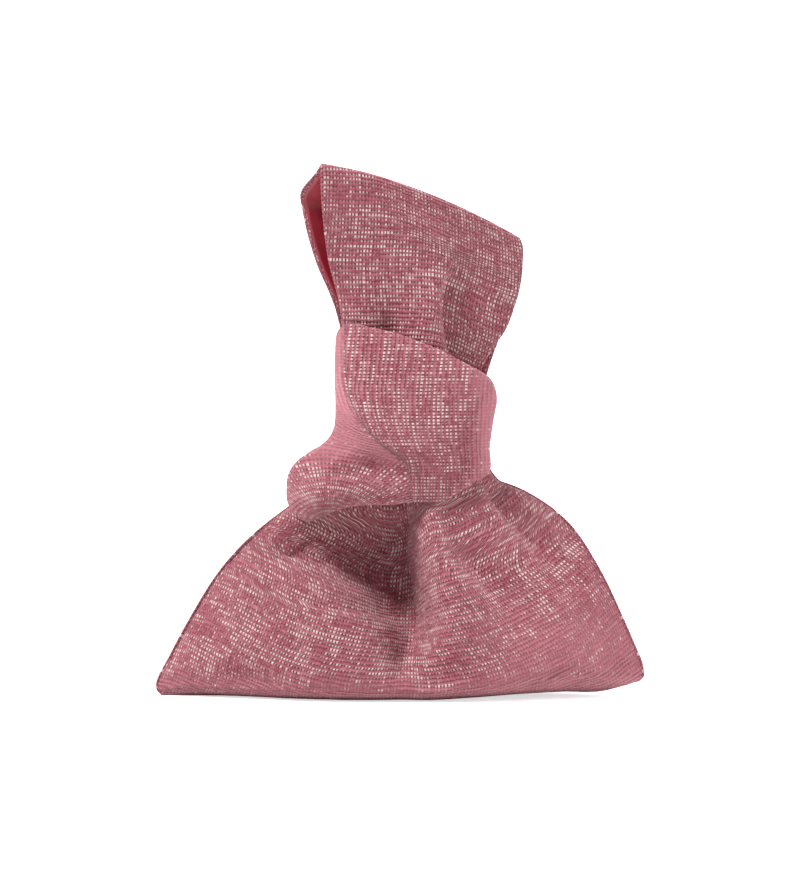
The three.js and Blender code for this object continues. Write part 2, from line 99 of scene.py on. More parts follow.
# Shares that shape the surfaces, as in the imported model
BASE_ROUND = 0.82
SHOULDER_ROUND = 0.55
ROUND_START = 0.6  # the share of the pouch's side above which its section turns from one to the other
ROUND_SPAN = 0.35
SEAM_SAG = 2.8
NECK_SHARE = 0.14  # the share of the pouch's side that rises into the neck
CORNER_CURL = 0.35  # the share of the pouch's side that its corners curl
BASE_SHARE = 0.5  # the share of the pouch's side over which it frees itself from its flat base
BAND_SQUARENESS = 2.6
RIM_SHARE = 0.07
SEAM_HOLD = 0.12
TURN_START = 0.2  # the share of the handle's rise under which its legs lie side by side
TURN_SPAN = 0.75
OPEN_START = 0.25  # the share of the handle's rise under which its legs lie shut
OPEN_SPAN = 0.6
TOP_FOLD = 0.5  # where the top fold lies, as a share of the handle's length
TOP_HOLD = 0.1
FOLD_BLEND = 5  # millimetres over which the stretches of a bent fold run into each other
ROW_FOLLOW = 0.2  # how far the rows are spaced by the folded cloth instead of the plain one

# The weave
ROW_PITCH = 2.1
DOT_PITCH = 1.57

LEFT_NECK = NECK_OFFSET - NECK_WIDTH / 2
RIGHT_NECK = NECK_OFFSET + NECK_WIDTH / 2
BAND_BOTTOM = SHOULDER + BAND_LIFT


def smooth(t):
    t = np.clip(t, 0, 1)
    return t * t * (3 - 2 * t)


def mix(a, b, t):
    return a + (b - a) * t


def through(pairs):
    """A smooth curve through (place, value) pairs, for arrays of places."""
    places, values = np.array(pairs, float).T
    before = np.maximum(np.arange(len(places)) - 1, 0)
    after = np.minimum(np.arange(len(places)) + 1, len(places) - 1)
    slopes = (values[after] - values[before]) / (places[after] - places[before])

    def curve(place):
        place = np.asarray(place, float)
        i = np.searchsorted(places[1:-1], place)
        gap = places[i + 1] - places[i]
        t = np.clip((place - places[i]) / gap, 0, 1)
        pull = gap * t * (1 - t)
        return mix(values[i], values[i + 1], smooth(t)) + pull * ((1 - t) * slopes[i] - t * slopes[i + 1])

    return curve


def stack(x, y, z):
    return np.stack(np.broadcast_arrays(x, y, z), axis=-1)


def away_from_seams(across):
    return smooth((1 - np.abs(across)) / SEAM_HOLD)


# Folds. Each is a line in the front view of a surface. Its rows hold the place, as shares of the surface's
# half width and height, the depth in millimetres, and the widths of the slopes on its right and its left.
FOLD_POINTS = 60
TINY = 1e-9


def fold_line(rows, place):
    """The places, depths and widths along a fold, in millimetres."""
    knots = np.array(rows, float)
    steps = np.hypot(*np.diff(knots[:, :2], axis=0).T)
    reach = np.concatenate([[0], np.cumsum(steps)]) / steps.sum()
    t = np.linspace(0, 1, FOLD_POINTS)
    x, z, depth, right, left = (through(np.column_stack([reach, knots[:, k]]))(t) for k in range(5))
    return np.column_stack([*place(x, z), depth, right, left])


def fold_depth(points, line):
    """How deep a fold is at each point, inwards if positive."""
    flat = points.reshape(-1, 3)[:, [0, 2]]
    starts = line[:-1, :2]
    legs = line[1:, :2] - starts
    offset = flat[:, None, :] - starts[None]
    t = np.clip((offset * legs).sum(-1) / ((legs**2).sum(-1) + TINY), 0, 1)
    gap = offset - t[..., None] * legs
    distance = np.hypot(gap[..., 0], gap[..., 1])
    depth, right, left = np.moveaxis(mix(line[:-1, 2:], line[1:, 2:], t[..., None]), -1, 0)
    side = (legs[:, 0] * gap[..., 1] - legs[:, 1] * gap[..., 0]) / (np.hypot(*legs.T) + TINY)
    width = mix(left, right, smooth(0.5 + side / 2))
    nearness = np.exp((distance.min(axis=1, keepdims=True) ** 2 - distance**2) / FOLD_BLEND**2)
    pressed = (nearness * depth * np.exp(-((distance / width) ** 2))).sum(axis=1) / nearness.sum(axis=1)
    return pressed.reshape(points.shape[:-1])


def normals_of(surface, across, up, step=1e-3):
    """Normals of a surface, by a small step each way."""
    a = np.minimum(across, 1 - step)
    b = np.minimum(up, 1 - step)
    origin = surface(a, b)
    normal = np.cross(surface(a + step, b) - origin, surface(a, b + step) - origin)
    return normal / np.linalg.norm(normal, axis=-1, keepdims=True)


def folded(surface, folds, place, outward, hold):
    """The surface with its folds pressed in along its normals."""
    lines = [fold_line(rows, place) for rows in folds]

    def cloth(across, up):
        across, up = np.broadcast_arrays(np.asarray(across, float), np.asarray(up, float))
        points = surface(across, up)
        depth = sum(fold_depth(points, line) for line in lines)
        depth = depth * hold(across, up) * outward
        return points - normals_of(surface, across, up) * depth[..., None]

    return cloth


# Pouch

left_seam_out = through([
    (0, 0.965), (0.05, 1), (0.12, 0.985), (0.2, 0.94), (0.33, 0.85), (0.5, 0.68), (0.65, 0.51), (0.8, 0.31),
    (0.9, 0.11), (1, 0),
])
left_seam_up = through([
    (0, 0), (0.05, 0.04), (0.12, 0.1), (0.2, 0.18), (0.33, 0.34), (0.5, 0.6), (0.65, 0.78), (0.8, 0.93),
    (0.9, 1.06), (1, 1),
])
right_seam_out = through([
    (0, 0.975), (0.05, 1), (0.12, 0.99), (0.2, 0.955), (0.33, 0.87), (0.5, 0.73), (0.65, 0.56), (0.8, 0.32),
    (0.9, 0.1), (1, 0),
])
right_seam_up = through([
    (0, 0.03), (0.05, 0.06), (0.12, 0.13), (0.2, 0.22), (0.33, 0.4), (0.5, 0.64), (0.65, 0.85), (0.8, 1),
    (0.9, 1.06), (1, 1),
])
middle_up = through([
    (0, 0), (0.06, 0.005), (0.12, 0.028), (0.2, 0.065), (0.33, 0.17), (0.5, 0.37), (0.65, 0.6), (0.8, 0.87),
    (0.9, 1.04), (1, 1),
])
# How far the hem is raised over the plain sag on its right half, in millimetres
right_hem_lift = through([
    (0, 0), (0.1, 0), (0.3, 1.1), (0.5, 1.6), (0.68, 0.5), (0.83, -1.6), (0.93, -1), (1, 0),
])
fullness = through([
    (0, 0), (0.05, 0.42), (0.12, 0.8), (0.2, 0.96), (0.33, 1), (0.5, 0.95), (0.65, 0.84), (0.8, 0.7),
    (0.9, 0.57), (1, 0.5),
])


def pouch_side(side):
    def surface(across, up):
        neck = smooth((up - 1 + NECK_SHARE) / NECK_SHARE)

        def height_of(share):
            return mix(share * SHOULDER, NECK_TOP, neck)

        gone = np.clip(1 - across**2, 0, 1)
        curl = 1 - smooth(up / CORNER_CURL)
        left = mix(LEFT_NECK, -POUCH_WIDTH / 2, left_seam_out(up))
        right = mix(RIGHT_NECK, POUCH_WIDTH / 2, right_seam_out(up))
        left_height = height_of(left_seam_up(up)) + LEFT_CORNER_LIFT * curl
        right_height = height_of(right_seam_up(up)) + RIGHT_CORNER_LIFT * curl
        seam_height = mix(left_height, right_height, (1 + across) / 2)
        sag = (1 - np.abs(across) ** SEAM_SAG) * (1 - neck) + neck * gone
        height = mix(seam_height, height_of(middle_up(up)), sag)
        roundness = mix(BASE_ROUND, SHOULDER_ROUND, smooth((up - ROUND_START) / ROUND_SPAN))
        depth = mix(fullness(up) * POUCH_DEPTH, NECK_DEPTH, neck) / 2
        height = height + right_hem_lift(np.maximum(across, 0)) * curl
        standing = mix(np.maximum(0, height - BASE_FLAT), height, smooth(up / BASE_SHARE))
        return stack(mix(left, right, (1 + across) / 2), side * depth * gone**roundness, standing)

    return surface


def pouch_place(x, z):
    return x * POUCH_WIDTH / 2, z * SHOULDER


def pouch_hold(across, up):
    return away_from_seams(across) * smooth(up / SEAM_HOLD)


POUCH_FRONT_FOLDS = [
    # the hollow under the band, steep on its right
    [(0.03, 1.04, 14, 11, 22), (0.03, 0.92, 26, 4.5, 34), (0.03, 0.78, 31, 4, 36),
     (0.05, 0.65, 31, 5, 32), (0.07, 0.54, 32, 6, 30), (0.085, 0.44, 31, 7, 26), (0.075, 0.35, 27, 8, 22),
     (0.045, 0.26, 22, 8, 17), (0.01, 0.17, 13, 8.5, 13), (-0.03, 0.08, 0, 8, 8)],
    # the ridge to the right of it
    [(0.1, 0.97, -4, 9, 3.8), (0.13, 0.83, -6, 10, 3.8), (0.17, 0.68, -7, 11, 4.2),
     (0.22, 0.54, -7, 11, 4.2), (0.25, 0.44, -5, 12, 4.7), (0.22, 0.31, -2, 12, 5.6)],
    # the cloth that folds over under the band, and the groove under its edge
    [(-0.41, 0.87, -1, 5.6, 2.8), (-0.29, 0.88, -3, 6, 3.3), (-0.16, 0.91, -5, 6.6, 3.3),
     (-0.04, 0.95, -6, 6.6, 2.8), (0.06, 0.97, -3, 5.6, 2.3)],
    [(-0.25, 0.79, 1, 1.9, 6.6), (-0.16, 0.82, 4, 1.9, 7), (-0.06, 0.87, 6, 1.9, 7),
     (0.02, 0.92, 6, 1.9, 6.6), (0.07, 0.96, 4, 1.9, 5.6)],
    # the recess under the lobe
    [(-0.54, 0.73, 3, 14, 7), (-0.42, 0.71, 13, 24, 7), (-0.28, 0.68, 20, 30, 9),
     (-0.15, 0.62, 18, 28, 11), (-0.05, 0.53, 14, 20, 13), (0.01, 0.44, 6, 14, 13),
     (0.03, 0.35, 0, 10, 10)],
    # the gather that hooks round at the left
    [(-0.29, 0.94, 3, 5.6, 3.8), (-0.41, 0.83, 3, 5.6, 3.8), (-0.48, 0.73, 2.5, 5.6, 4),
     (-0.46, 0.66, 1.5, 6, 5), (-0.33, 0.56, 0, 6.6, 5.6)],
    # the creases at the right
    [(0.38, 0.98, 4, 7.5, 2.3), (0.43, 0.92, 6, 8.5, 3), (0.48, 0.86, 7, 9, 4), (0.54, 0.79, 7, 9, 5),
     (0.6, 0.72, 5, 9, 6), (0.67, 0.65, 2, 8, 6), (0.72, 0.59, 0, 8, 6)],
    [(0.16, 0.9, 3, 6, 4), (0.2, 0.77, 6, 8, 5), (0.27, 0.68, 8, 9, 6), (0.35, 0.6, 7, 9, 6.5),
     (0.42, 0.52, 5, 9, 7), (0.49, 0.44, 2.5, 9, 7), (0.56, 0.36, 0, 8, 7)],
    # the dent beside the left corner
    [(-0.73, 0.11, 1, 7.5, 5.6), (-0.63, 0.1, 3, 7.5, 5.6), (-0.54, 0.08, 1.5, 8.5, 5.6)],
]

POUCH_BACK_FOLDS = [
    [(-0.02, 1, 7, 14, 10), (-0.01, 0.75, 7, 14, 10), (0.02, 0.5, 5, 12, 10), (0.02, 0.25, 0, 10, 10)],
    [(-0.2, 1, 6, 10, 7), (-0.26, 0.75, 6, 10, 7), (-0.38, 0.45, 0, 9, 8)],
    [(0.24, 1, 7, 7, 10), (0.29, 0.75, 6, 7, 10), (0.42, 0.45, 0, 8, 9)],
    [(-0.11, 0.95, -3, 7, 7), (-0.15, 0.7, -3, 8, 8), (-0.2, 0.45, 0, 8, 8)],
    [(0.13, 0.95, -3, 7, 7), (0.15, 0.7, -3, 8, 8), (0.2, 0.45, 0, 8, 8)],
]

# Handle

loop_depth = through([
    (0, -1), (0.2, -1), (0.38, -1), (0.45, -0.9), (0.5, 0), (0.55, 0.9), (0.62, 1), (0.8, 1), (1, 1),
])
loop_rise = through([
    (0, 0), (0.2, 0.46), (0.38, 0.88), (0.45, 1), (0.5, 0.945), (0.55, 0.875), (0.62, 0.775), (0.8, 0.42),
    (1, 0),
])
left_edge_out = through([(0, 0), (0.43, 0.25), (0.63, 0.6), (0.86, 0.78), (1, 0.8)])
right_edge_out = through([
    (0, 0), (0.26, 0.36), (0.35, 0.52), (0.49, 0.82), (0.65, 1), (0.79, 1.1), (0.93, 1.13), (1, 1.08),
])
EDGE_GAP = CLOTH + LINING + 2 * LAYER_GAP


def handle_loop(across, along):
    rise = loop_rise(along)
    turned = smooth((rise - TURN_START) / TURN_SPAN)
    side_growth = (HANDLE_TOP_WIDTH - NECK_WIDTH) / 2
    left = LEFT_NECK - (side_growth - TOP_SHIFT) * left_edge_out(rise)
    right = RIGHT_NECK + (side_growth + TOP_SHIFT) * right_edge_out(rise)
    set_left = BACK_SET * smooth((loop_depth(along) + 1) / 2) * turned
    x = mix(left, right, (1 + across) / 2) - set_left
    bow = np.clip(1 - across**2, 0, 1)
    top = HANDLE_RISE - HANDLE_SLANT * (1 + across) / 2 + TOP_CROWN * bow
    closed = EDGE_GAP + (NECK_DEPTH / 2 - EDGE_GAP - LEG_INSET) * bow
    opened = mix(closed, HANDLE_DEPTH / 2, smooth((rise - OPEN_START) / OPEN_SPAN))
    turn = math.tan(HANDLE_TWIST) * turned
    return stack(x, loop_depth(along) * opened + (x - NECK_OFFSET) * turn, HANDLE_ROOT + top * rise)


def handle_place(x, z):
    return NECK_OFFSET + x * HANDLE_TOP_WIDTH / 2, HANDLE_ROOT + z * HANDLE_RISE


HANDLE_FOLDS = [
    # the pleat that runs down into the band, with the cloth to its right set back
    [(0.45, 0.66, 0, 20, 4), (0.39, 0.58, 3, 26, 3.2), (0.35, 0.5, 5, 30, 2.6), (0.35, 0.43, 7, 32, 2.4),
     (0.37, 0.36, 8, 32, 2.4), (0.41, 0.28, 8, 32, 2.6)],
    # the soft diagonal ridge that ends in it
    [(-0.39, 0.96, -0.5, 6.6, 12), (-0.11, 0.81, -1.5, 6.6, 12), (0.2, 0.7, -2.5, 6.6, 11),
     (0.39, 0.62, -3, 4.7, 9), (0.3, 0.53, -3, 2.3, 8.5), (0.26, 0.43, -2, 2.8, 8.5)],
    # the dimple over the band
    [(-0.21, 0.49, 0.5, 8, 8), (-0.2, 0.43, 4.5, 8, 8), (-0.19, 0.34, 8, 8, 8)],
]

HANDLE_BACK_FOLDS = [
    [(-0.25, 0.15, 5, 12, 8), (-0.22, 0.4, 3, 12, 8), (-0.25, 0.65, 0, 10, 8)],
    [(0.4, 0.12, 4, 9, 9), (0.45, 0.35, 2.5, 9, 9), (0.4, 0.55, 0, 9, 9)],
]

FRONT_END = 0.47  # the share of the handle's length that has the folds of the front


def front_hold(across, along):
    return 1 - smooth((along - TOP_FOLD + TOP_HOLD) / TOP_HOLD)


def back_hold(across, along):
    return smooth((along - TOP_FOLD) / TOP_HOLD)


handle_front = folded(handle_loop, HANDLE_FOLDS, handle_place, 1, front_hold)
handle_back = folded(handle_loop, HANDLE_BACK_FOLDS, handle_place, 1, back_hold)


def handle_cloth(across, along):
    across, along = np.broadcast_arrays(np.asarray(across, float), np.asarray(along, float))
    on_front = (along < FRONT_END)[..., None]
    return np.where(on_front, handle_front(across, along), handle_back(across, along))


def handle_inside(distance):
    """The handle's surface moved inwards by a distance."""

    def surface(across, along):
        return handle_cloth(across, along) - normals_of(handle_cloth, across, along) * distance

    return surface


# Band

band_left_out = through([
    (0, 1), (0.08, 1.09), (0.16, 1.1), (0.24, 1.05), (0.31, 0.88), (0.38, 0.6), (0.45, 0.25), (0.52, 0.05),
    (0.62, 0), (0.78, 0.02), (0.9, 0), (1, -0.03),
])
band_left_up = through([
    (0, -0.14), (0.08, -0.06), (0.16, 0.03), (0.24, 0.11), (0.31, 0.18), (0.38, 0.24), (0.45, 0.3),
    (0.52, 0.38), (0.62, 0.5), (0.78, 0.72), (0.9, 0.9), (1, 1.02),
])
band_right_out = through([
    (0, -0.15), (0.1, 0.15), (0.35, 0.08), (0.58, 0.42), (0.74, 0.68), (0.88, 0.42), (1, -0.3),
])
band_right_up = through([
    (0, 0.12), (0.1, 0.2), (0.35, 0.38), (0.58, 0.63), (0.74, 0.78), (0.88, 0.91), (1, 1.02),
])
bottom_rim_rise = through([
    (-1, 0), (-0.9, -4), (-0.75, -3.8), (-0.6, -0.8), (-0.44, 0.6), (-0.19, -1), (0.24, -4.4), (0.56, -7),
    (0.72, -5.2), (0.85, -2.5), (1, 0),
])
band_depth_share = through([(0, 0.9), (0.15, 1), (0.4, 1), (0.7, 0.9), (0.9, 0.76), (1, 0.68)])


def band_side(side):
    def surface(across, up):
        gone = np.clip(1 - np.abs(across) ** BAND_SQUARENESS, 0, 1)
        left = LEFT_NECK - BAND_LEFT_REACH - LOBE_REACH * band_left_out(up)
        right = RIGHT_NECK + BAND_RIGHT_REACH + BAND_RIGHT_SWELL * band_right_out(up)
        left_height = BAND_BOTTOM + BAND_WIDTH * band_left_up(up)
        right_height = BAND_BOTTOM + (BAND_WIDTH - BAND_SLANT) * band_right_up(up)
        rim = mix(bottom_rim_rise(across), RIM_CROWN * (1 - across**2), smooth(up))
        rounding = np.clip(1 - np.minimum(up, 1 - up) / RIM_SHARE, 0, 1)
        edge = RIM_RADIUS * (1 - np.sqrt(1 - rounding**2))
        depth = BAND_DEPTH / 2 * band_depth_share(up) - edge
        middle = (left + right) / 2
        half = (right - left) / 2 - edge
        height = mix(left_height, right_height, (1 + across) / 2) + rim
        return stack(middle + half * across, side * depth * np.sqrt(gone), height)

    return surface


def band_place(x, z):
    return NECK_OFFSET + x * BAND_WIDTH / 2, BAND_BOTTOM + z * BAND_WIDTH


def band_hold(across, up):
    return away_from_seams(across)


BAND_FRONT_FOLDS = [
    # the edge where the strip turns, and the facet beside it
    [(-0.8, 1.06, -2, 13, 3), (-0.8, 0.88, -2.5, 13, 2.6), (-0.79, 0.66, -3, 12, 2.2),
     (-0.68, 0.54, -3.5, 12, 1.9), (-0.5, 0.39, -3.5, 11, 1.9), (-0.28, 0.28, -3, 10, 2.2),
     (-0.03, 0.19, -1.5, 9, 2.8), (0.07, 0.08, -0.5, 8, 3)],
    [(-0.9, 0.61, 0.5, 3.3, 6.6), (-0.77, 0.42, 2, 3.3, 7), (-0.58, 0.3, 2, 3.3, 7),
     (-0.35, 0.22, 1, 3.3, 6)],
    # the hollow that swirls round the lobe, and the lobe
    [(-1.3, 0.06, 1, 5, 5), (-1, 0.12, 3, 5.5, 5), (-0.65, 0.14, 4.5, 6, 5), (-0.38, 0.14, 5.5, 6, 5),
     (-0.13, 0.1, 4.5, 5, 4.5), (0.04, 0.06, 2, 4.2, 4.7)],
    [(-1.52, 0.01, -1, 7.5, 7.5), (-1.12, 0, -2.5, 6.5, 7.5), (-0.69, 0, -2.5, 6, 7.5),
     (-0.23, -0.01, -1.5, 5.6, 6.6)],
    [(0.36, 0.82, 0.5, 9, 9), (0.31, 0.57, 1.8, 10, 10), (0.44, 0.33, 1, 10, 10)],
]

BAND_BACK_FOLDS = [
    [(0.75, 0.75, 4, 9, 9), (0.6, 0.6, 4, 9, 9), (0.2, 0.42, 3, 9, 9), (-0.2, 0.25, 0, 9, 9)],
    [(-1.1, 0.12, 3, 8, 8), (-0.4, 0.15, 5, 8, 8), (0.2, 0.2, 4, 8, 8), (0.7, 0.42, 0, 8, 8)],
    [(-0.6, 0.95, 3, 8, 8), (-0.55, 0.65, 3, 8, 8), (-0.3, 0.4, 0, 8, 8)],
]

# Meshes
CRUMPLE_WAY = (1, 2.3, 0.7)  # the way through the noise that a seed goes
WELD_REACH = 2e-6  # metres between points that become one


def arc(points, axis):
    """Distance walked over the surface along a grid's axis."""
    steps = np.linalg.norm(np.diff(points, axis=axis), axis=-1)
    start = np.zeros_like(np.take(steps, [0], axis=axis))
    return np.concatenate([start, np.cumsum(steps, axis=axis)], axis=axis)


def crumple(points, normals, size, height, seed):
    """The points with the cloth's small unevenness, of a size and a height in millimetres."""
    place = Vector(np.multiply(seed, CRUMPLE_WAY))
    flat = points.reshape(-1, 3)
    lift = np.array([noise.noise(Vector(p / size) + place) for p in flat]).reshape(points.shape[:-1])
    return points + normals * (lift * height)[..., None]


def grid_normals(points):
    """Normals of a grid of points, by its own neighbours."""
    down, across = np.gradient(points, axis=(0, 1))
    normal = np.cross(across, down)
    return normal / np.maximum(np.linalg.norm(normal, axis=-1, keepdims=True), TINY)


def grid_faces(rows, columns, flip=False):
    r, c = np.meshgrid(np.arange(rows - 1), np.arange(columns - 1), indexing="ij")
    a = (r * columns + c).ravel()
    quads = np.column_stack([a, a + 1, a + 1 + columns, a + columns])
    return quads[:, ::-1] if flip else quads


def mesh_object(name, parts):
    """One object from grids: each part is (points, cloth coordinates, flip, painted sheen), in millimetres.
    """
    vertices, faces, coordinates, painted_sheens = [], [], [], []
    first = 0
    for points, cloth, flip, tone in parts:
        rows, columns = points.shape[:2]
        vertices.append(points.reshape(-1, 3))
        coordinates.append(cloth.reshape(-1, 2))
        painted_sheens.append(np.broadcast_to(tone, (rows, columns)).reshape(-1))
        faces.append(grid_faces(rows, columns, flip) + first)
        first += rows * columns
    vertices, coordinates = np.concatenate(vertices), np.concatenate(coordinates)
    faces, painted_sheens = np.concatenate(faces), np.concatenate(painted_sheens)
    mesh = bpy.data.meshes.new(name)
    mesh.from_pydata((vertices * MM).tolist(), [], faces.tolist())
    layer = mesh.uv_layers.new(name="cloth")
    layer.data.foreach_set("uv", coordinates[faces.ravel()].astype(np.float32).ravel())
    # The painted sheen, carried on the points
    tone = mesh.attributes.new("tone", "FLOAT", "POINT")
    tone.data.foreach_set("value", painted_sheens.astype(np.float32))
    mesh.polygons.foreach_set("use_smooth", [True] * len(faces))
    piece = bpy.data.objects.new(name, mesh)
    bpy.context.collection.objects.link(piece)
    weld(piece)
    return piece


def weld(piece):
    """Joins the points that neighbouring grids share."""
    work = bmesh.new()
    work.from_mesh(piece.data)
    bmesh.ops.remove_doubles(work, verts=work.verts, dist=WELD_REACH)
    loose = [v for v in work.verts if not v.link_faces]
    bmesh.ops.delete(work, geom=loose, context="VERTS")
    work.to_mesh(piece.data)
    work.free()


def seam_spread(count):
    """Places across a side, closer together near its seams."""
    t = np.linspace(0, 1, count)
    return mix(2 * t - 1, -np.cos(np.pi * t), 0.5)


POUCH_COLUMNS = 170
POUCH_HEM = 0.11  # the share of the side that has the closer rows of points at the base
POUCH_HEM_ROWS = 16
POUCH_ROWS = 134
POUCH_CRUMPLE = (16, 0.9)  # size and height
POUCH_SEED = 3
CALM_BASE = 0.3  # the share of the side over which the crumpling fades in from the base


def pouch_piece():
    across = seam_spread(POUCH_COLUMNS)[None, :]
    hem = np.linspace(0, POUCH_HEM, POUCH_HEM_ROWS)[:-1]
    up = np.concatenate([hem, np.linspace(POUCH_HEM, 1, POUCH_ROWS)])[:, None]
    held = (pouch_hold(across, up) * smooth(up / CALM_BASE))[..., None]
    parts = []
    for side, folds in ((FRONT, POUCH_FRONT_FOLDS), (BACK, POUCH_BACK_FOLDS)):
        plain = pouch_side(side)
        points = folded(plain, folds, pouch_place, -side, pouch_hold)(across, up)
        normals = grid_normals(points) * side
        points = mix(points, crumple(points, normals, *POUCH_CRUMPLE, POUCH_SEED + side), held)
        points[..., 2] = np.maximum(points[..., 2], 0)
        u = arc(points, 1)
        u = u - u[:, [u.shape[1] // 2]]
        v = mix(arc(plain(across, up), 0), arc(points, 0), ROW_FOLLOW)
        parts.append((points, np.stack([u, v], -1), side == FRONT, pouch_painted_sheen(points, side)))
    return mesh_object("pouch_cloth", parts)


# The short cloth simulation of the pouch
CLOTH_FRAMES = 8
CLOTH_QUALITY = 4
CLOTH_MASS = 0.1
CLOTH_BENDING = 0.5
CLOTH_PRESSURE = 1.0
CLOTH_SLACK = -0.01
CLOTH_CAP = 1.6 * MM
HOLD_STEPS = 20
NECK_HELD = (SHOULDER - 12, 10)  # from this height up it is held, fully so after this span
BASE_HELD = (6, 4)  # and from this height down


def settle(piece):
    """Lets the filled cloth swell and buckle a little between its neck, its seams and its base."""
    mesh = piece.data
    count = len(mesh.vertices)
    start = np.empty(count * 3)
    mesh.vertices.foreach_get("co", start)
    start = start.reshape(-1, 3)
    height = start[:, 2] / MM
    at_neck = smooth((height - NECK_HELD[0]) / NECK_HELD[1])
    held = np.maximum(at_neck, smooth((BASE_HELD[0] - height) / BASE_HELD[1]))
    group = piece.vertex_groups.new(name="held")
    for step in range(HOLD_STEPS + 1):
        inside = np.flatnonzero(np.round(held * HOLD_STEPS) == step)
        group.add(inside.tolist(), step / HOLD_STEPS, "REPLACE")
    cloth = piece.modifiers.new("settle", "CLOTH")
    cloth.settings.vertex_group_mass = group.name
    cloth.settings.quality = CLOTH_QUALITY
    cloth.settings.mass = CLOTH_MASS
    cloth.settings.bending_stiffness = CLOTH_BENDING
    cloth.settings.use_pressure = True
    cloth.settings.uniform_pressure_force = CLOTH_PRESSURE
    cloth.settings.shrink_min = CLOTH_SLACK
    cloth.settings.effector_weights.gravity = 0
    cloth.collision_settings.use_collision = False
    for frame_number in range(1, CLOTH_FRAMES + 1):
        bpy.context.scene.frame_set(frame_number)
    settled = piece.evaluated_get(bpy.context.evaluated_depsgraph_get())
    end = np.empty(count * 3)
    settled.data.vertices.foreach_get("co", end)
    move = end.reshape(-1, 3) - start
    length = np.linalg.norm(move, axis=1, keepdims=True)
    move *= CLOTH_CAP * np.tanh(length / CLOTH_CAP) / np.maximum(length, TINY)
    piece.modifiers.clear()
    piece.vertex_groups.clear()
    bpy.context.scene.frame_set(1)
    mesh.vertices.foreach_set("co", (start + move).ravel())
    mesh.update()


def above(value, start, span):
    """0 up to a start and 1 after a span."""
    return smooth((value - start) / span)


# Painted sheen at the base and the sides of the pouch: lighter pink with the dots closed
BASE_PAINTED_SHEEN = 0.55
SIDE_PAINTED_SHEEN = 0.5


def pouch_painted_sheen(points, side):
    """Painted sheen: where the rose rows are drawn closed over the cream dots and lighter pink, as the cloth
    looks at a grazing angle; 1 is closed, 0 is open.
    """
    x, z = points[..., 0], points[..., 2]
    base = BASE_PAINTED_SHEEN * above(-z, -16, 12)
    if side == BACK:
        return base
    left = SIDE_PAINTED_SHEEN * above(-x, 60, 30) * above(z, 55, 25)
    right = SIDE_PAINTED_SHEEN * above(x, 20, 50) * above(-z, -60, 35)
    return np.clip(base + left + right, 0, 1)


# Places on the front of the band, in millimetres to the right of the middle and up from the floor
crease_right = through([
    (80, 6.1), (91, 6.1), (97.3, 5.6), (105, 4.5), (112.3, 1.9), (120.8, -9.4), (130.2, -17.9), (140.5, -23),
    (153.7, -25.4), (180, -25.4),
])
CREASE_TOP = (-25.4, 171)
LOBE_CENTRE = (-32.9, 82.3)
LOBE_STRETCH = (0.78, 1.15)
LOBE_ARC = 35
LOBE_START = 51.7
FACET_OFFSET = 15
FACET_START = (112, 25)  # the height where the facet over the lobe starts, and the span of the change
FACET_FOOT = 60
ROW_LEAN = 0.1  # how far the upright rows of the band lean
CREASE_PULL = 14  # how far they are drawn aside by the crease
CREASE_PULL_REACH = 21
CREASE_PULL_SPAN = 45
CREASE_PULL_TOP = 150


def band_rows(points):
    """The cloth coordinates on the front of the band: along a row, and across the rows."""
    x, z = points[..., 0], points[..., 2]
    beside = x - crease_right(z)
    low = above(-z, -CREASE_PULL_TOP, CREASE_PULL_SPAN)
    bend = CREASE_PULL * low * np.exp(-np.maximum(beside, 0) / CREASE_PULL_REACH)
    main = x - CREASE_TOP[0] + ROW_LEAN * (CREASE_TOP[1] - z) - bend
    dx, dz = (x - LOBE_CENTRE[0]) * LOBE_STRETCH[0], (z - LOBE_CENTRE[1]) * LOBE_STRETCH[1]
    on_facet = above(z, *FACET_START)
    left = mix(np.hypot(dx, dz) - LOBE_START, beside + FACET_OFFSET, on_facet)
    left_along = mix(LOBE_ARC * np.arctan2(dz, dx), z - FACET_FOOT, on_facet)
    on_main = np.where(beside > 0, 1.0, 0.0)
    return np.stack([mix(left_along, z, on_main), mix(left, main, on_main)], -1)


BAND_COLUMNS = 190
BAND_ROWS = 84
RIM_ROWS = 8
BAND_CRUMPLE = (14, 0.8)
BAND_SEED = 11


def band_piece():
    across = seam_spread(BAND_COLUMNS)[None, :]
    up = np.concatenate([
        np.linspace(0, RIM_SHARE, RIM_ROWS)[:-1],
        np.linspace(RIM_SHARE, 1 - RIM_SHARE, BAND_ROWS),
        np.linspace(1 - RIM_SHARE, 1, RIM_ROWS)[1:],
    ])[:, None]
    held = band_hold(across, up)[..., None]
    sides = {}
    for side, folds in ((FRONT, BAND_FRONT_FOLDS), (BACK, BAND_BACK_FOLDS)):
        points = folded(band_side(side), folds, band_place, -side, band_hold)(across, up)
        normals = grid_normals(points) * side
        sides[side] = mix(points, crumple(points, normals, *BAND_CRUMPLE, BAND_SEED + side), held)
    front, back = sides[FRONT], sides[BACK]
    rows = band_rows(front)
    walked = arc(back, 1)
    length = walked[:, [-1]]
    from_right = length - walked
    left_edge, right_edge = rows[:, [0], 1], rows[:, [-1], 1]
    missing = right_edge + length - left_edge
    whole = ROW_PITCH * np.round(missing.mean() / ROW_PITCH)
    v = right_edge + from_right + (whole - missing) * from_right / length
    back_rows = np.stack([arc(back, 0), v], -1)
    parts = []
    for side, points, cloth in ((FRONT, front, rows), (BACK, back, back_rows)):
        inner, inner_cloth = turned_in(points, cloth)
        parts.append((inner, inner_cloth, side == FRONT, band_painted_sheen(inner, side)))
    return mesh_object("band_cloth", parts)


# The hems behind the two rims, as steps inwards and up from the rim, in millimetres
LOWER_HEM = ((11, 9), (7, 4), (3, 1.2))
UPPER_HEM = ((1.5, -1.5), (2.5, -5), (3, -12), (4, -20))
HEM_SQUASH = 1.6


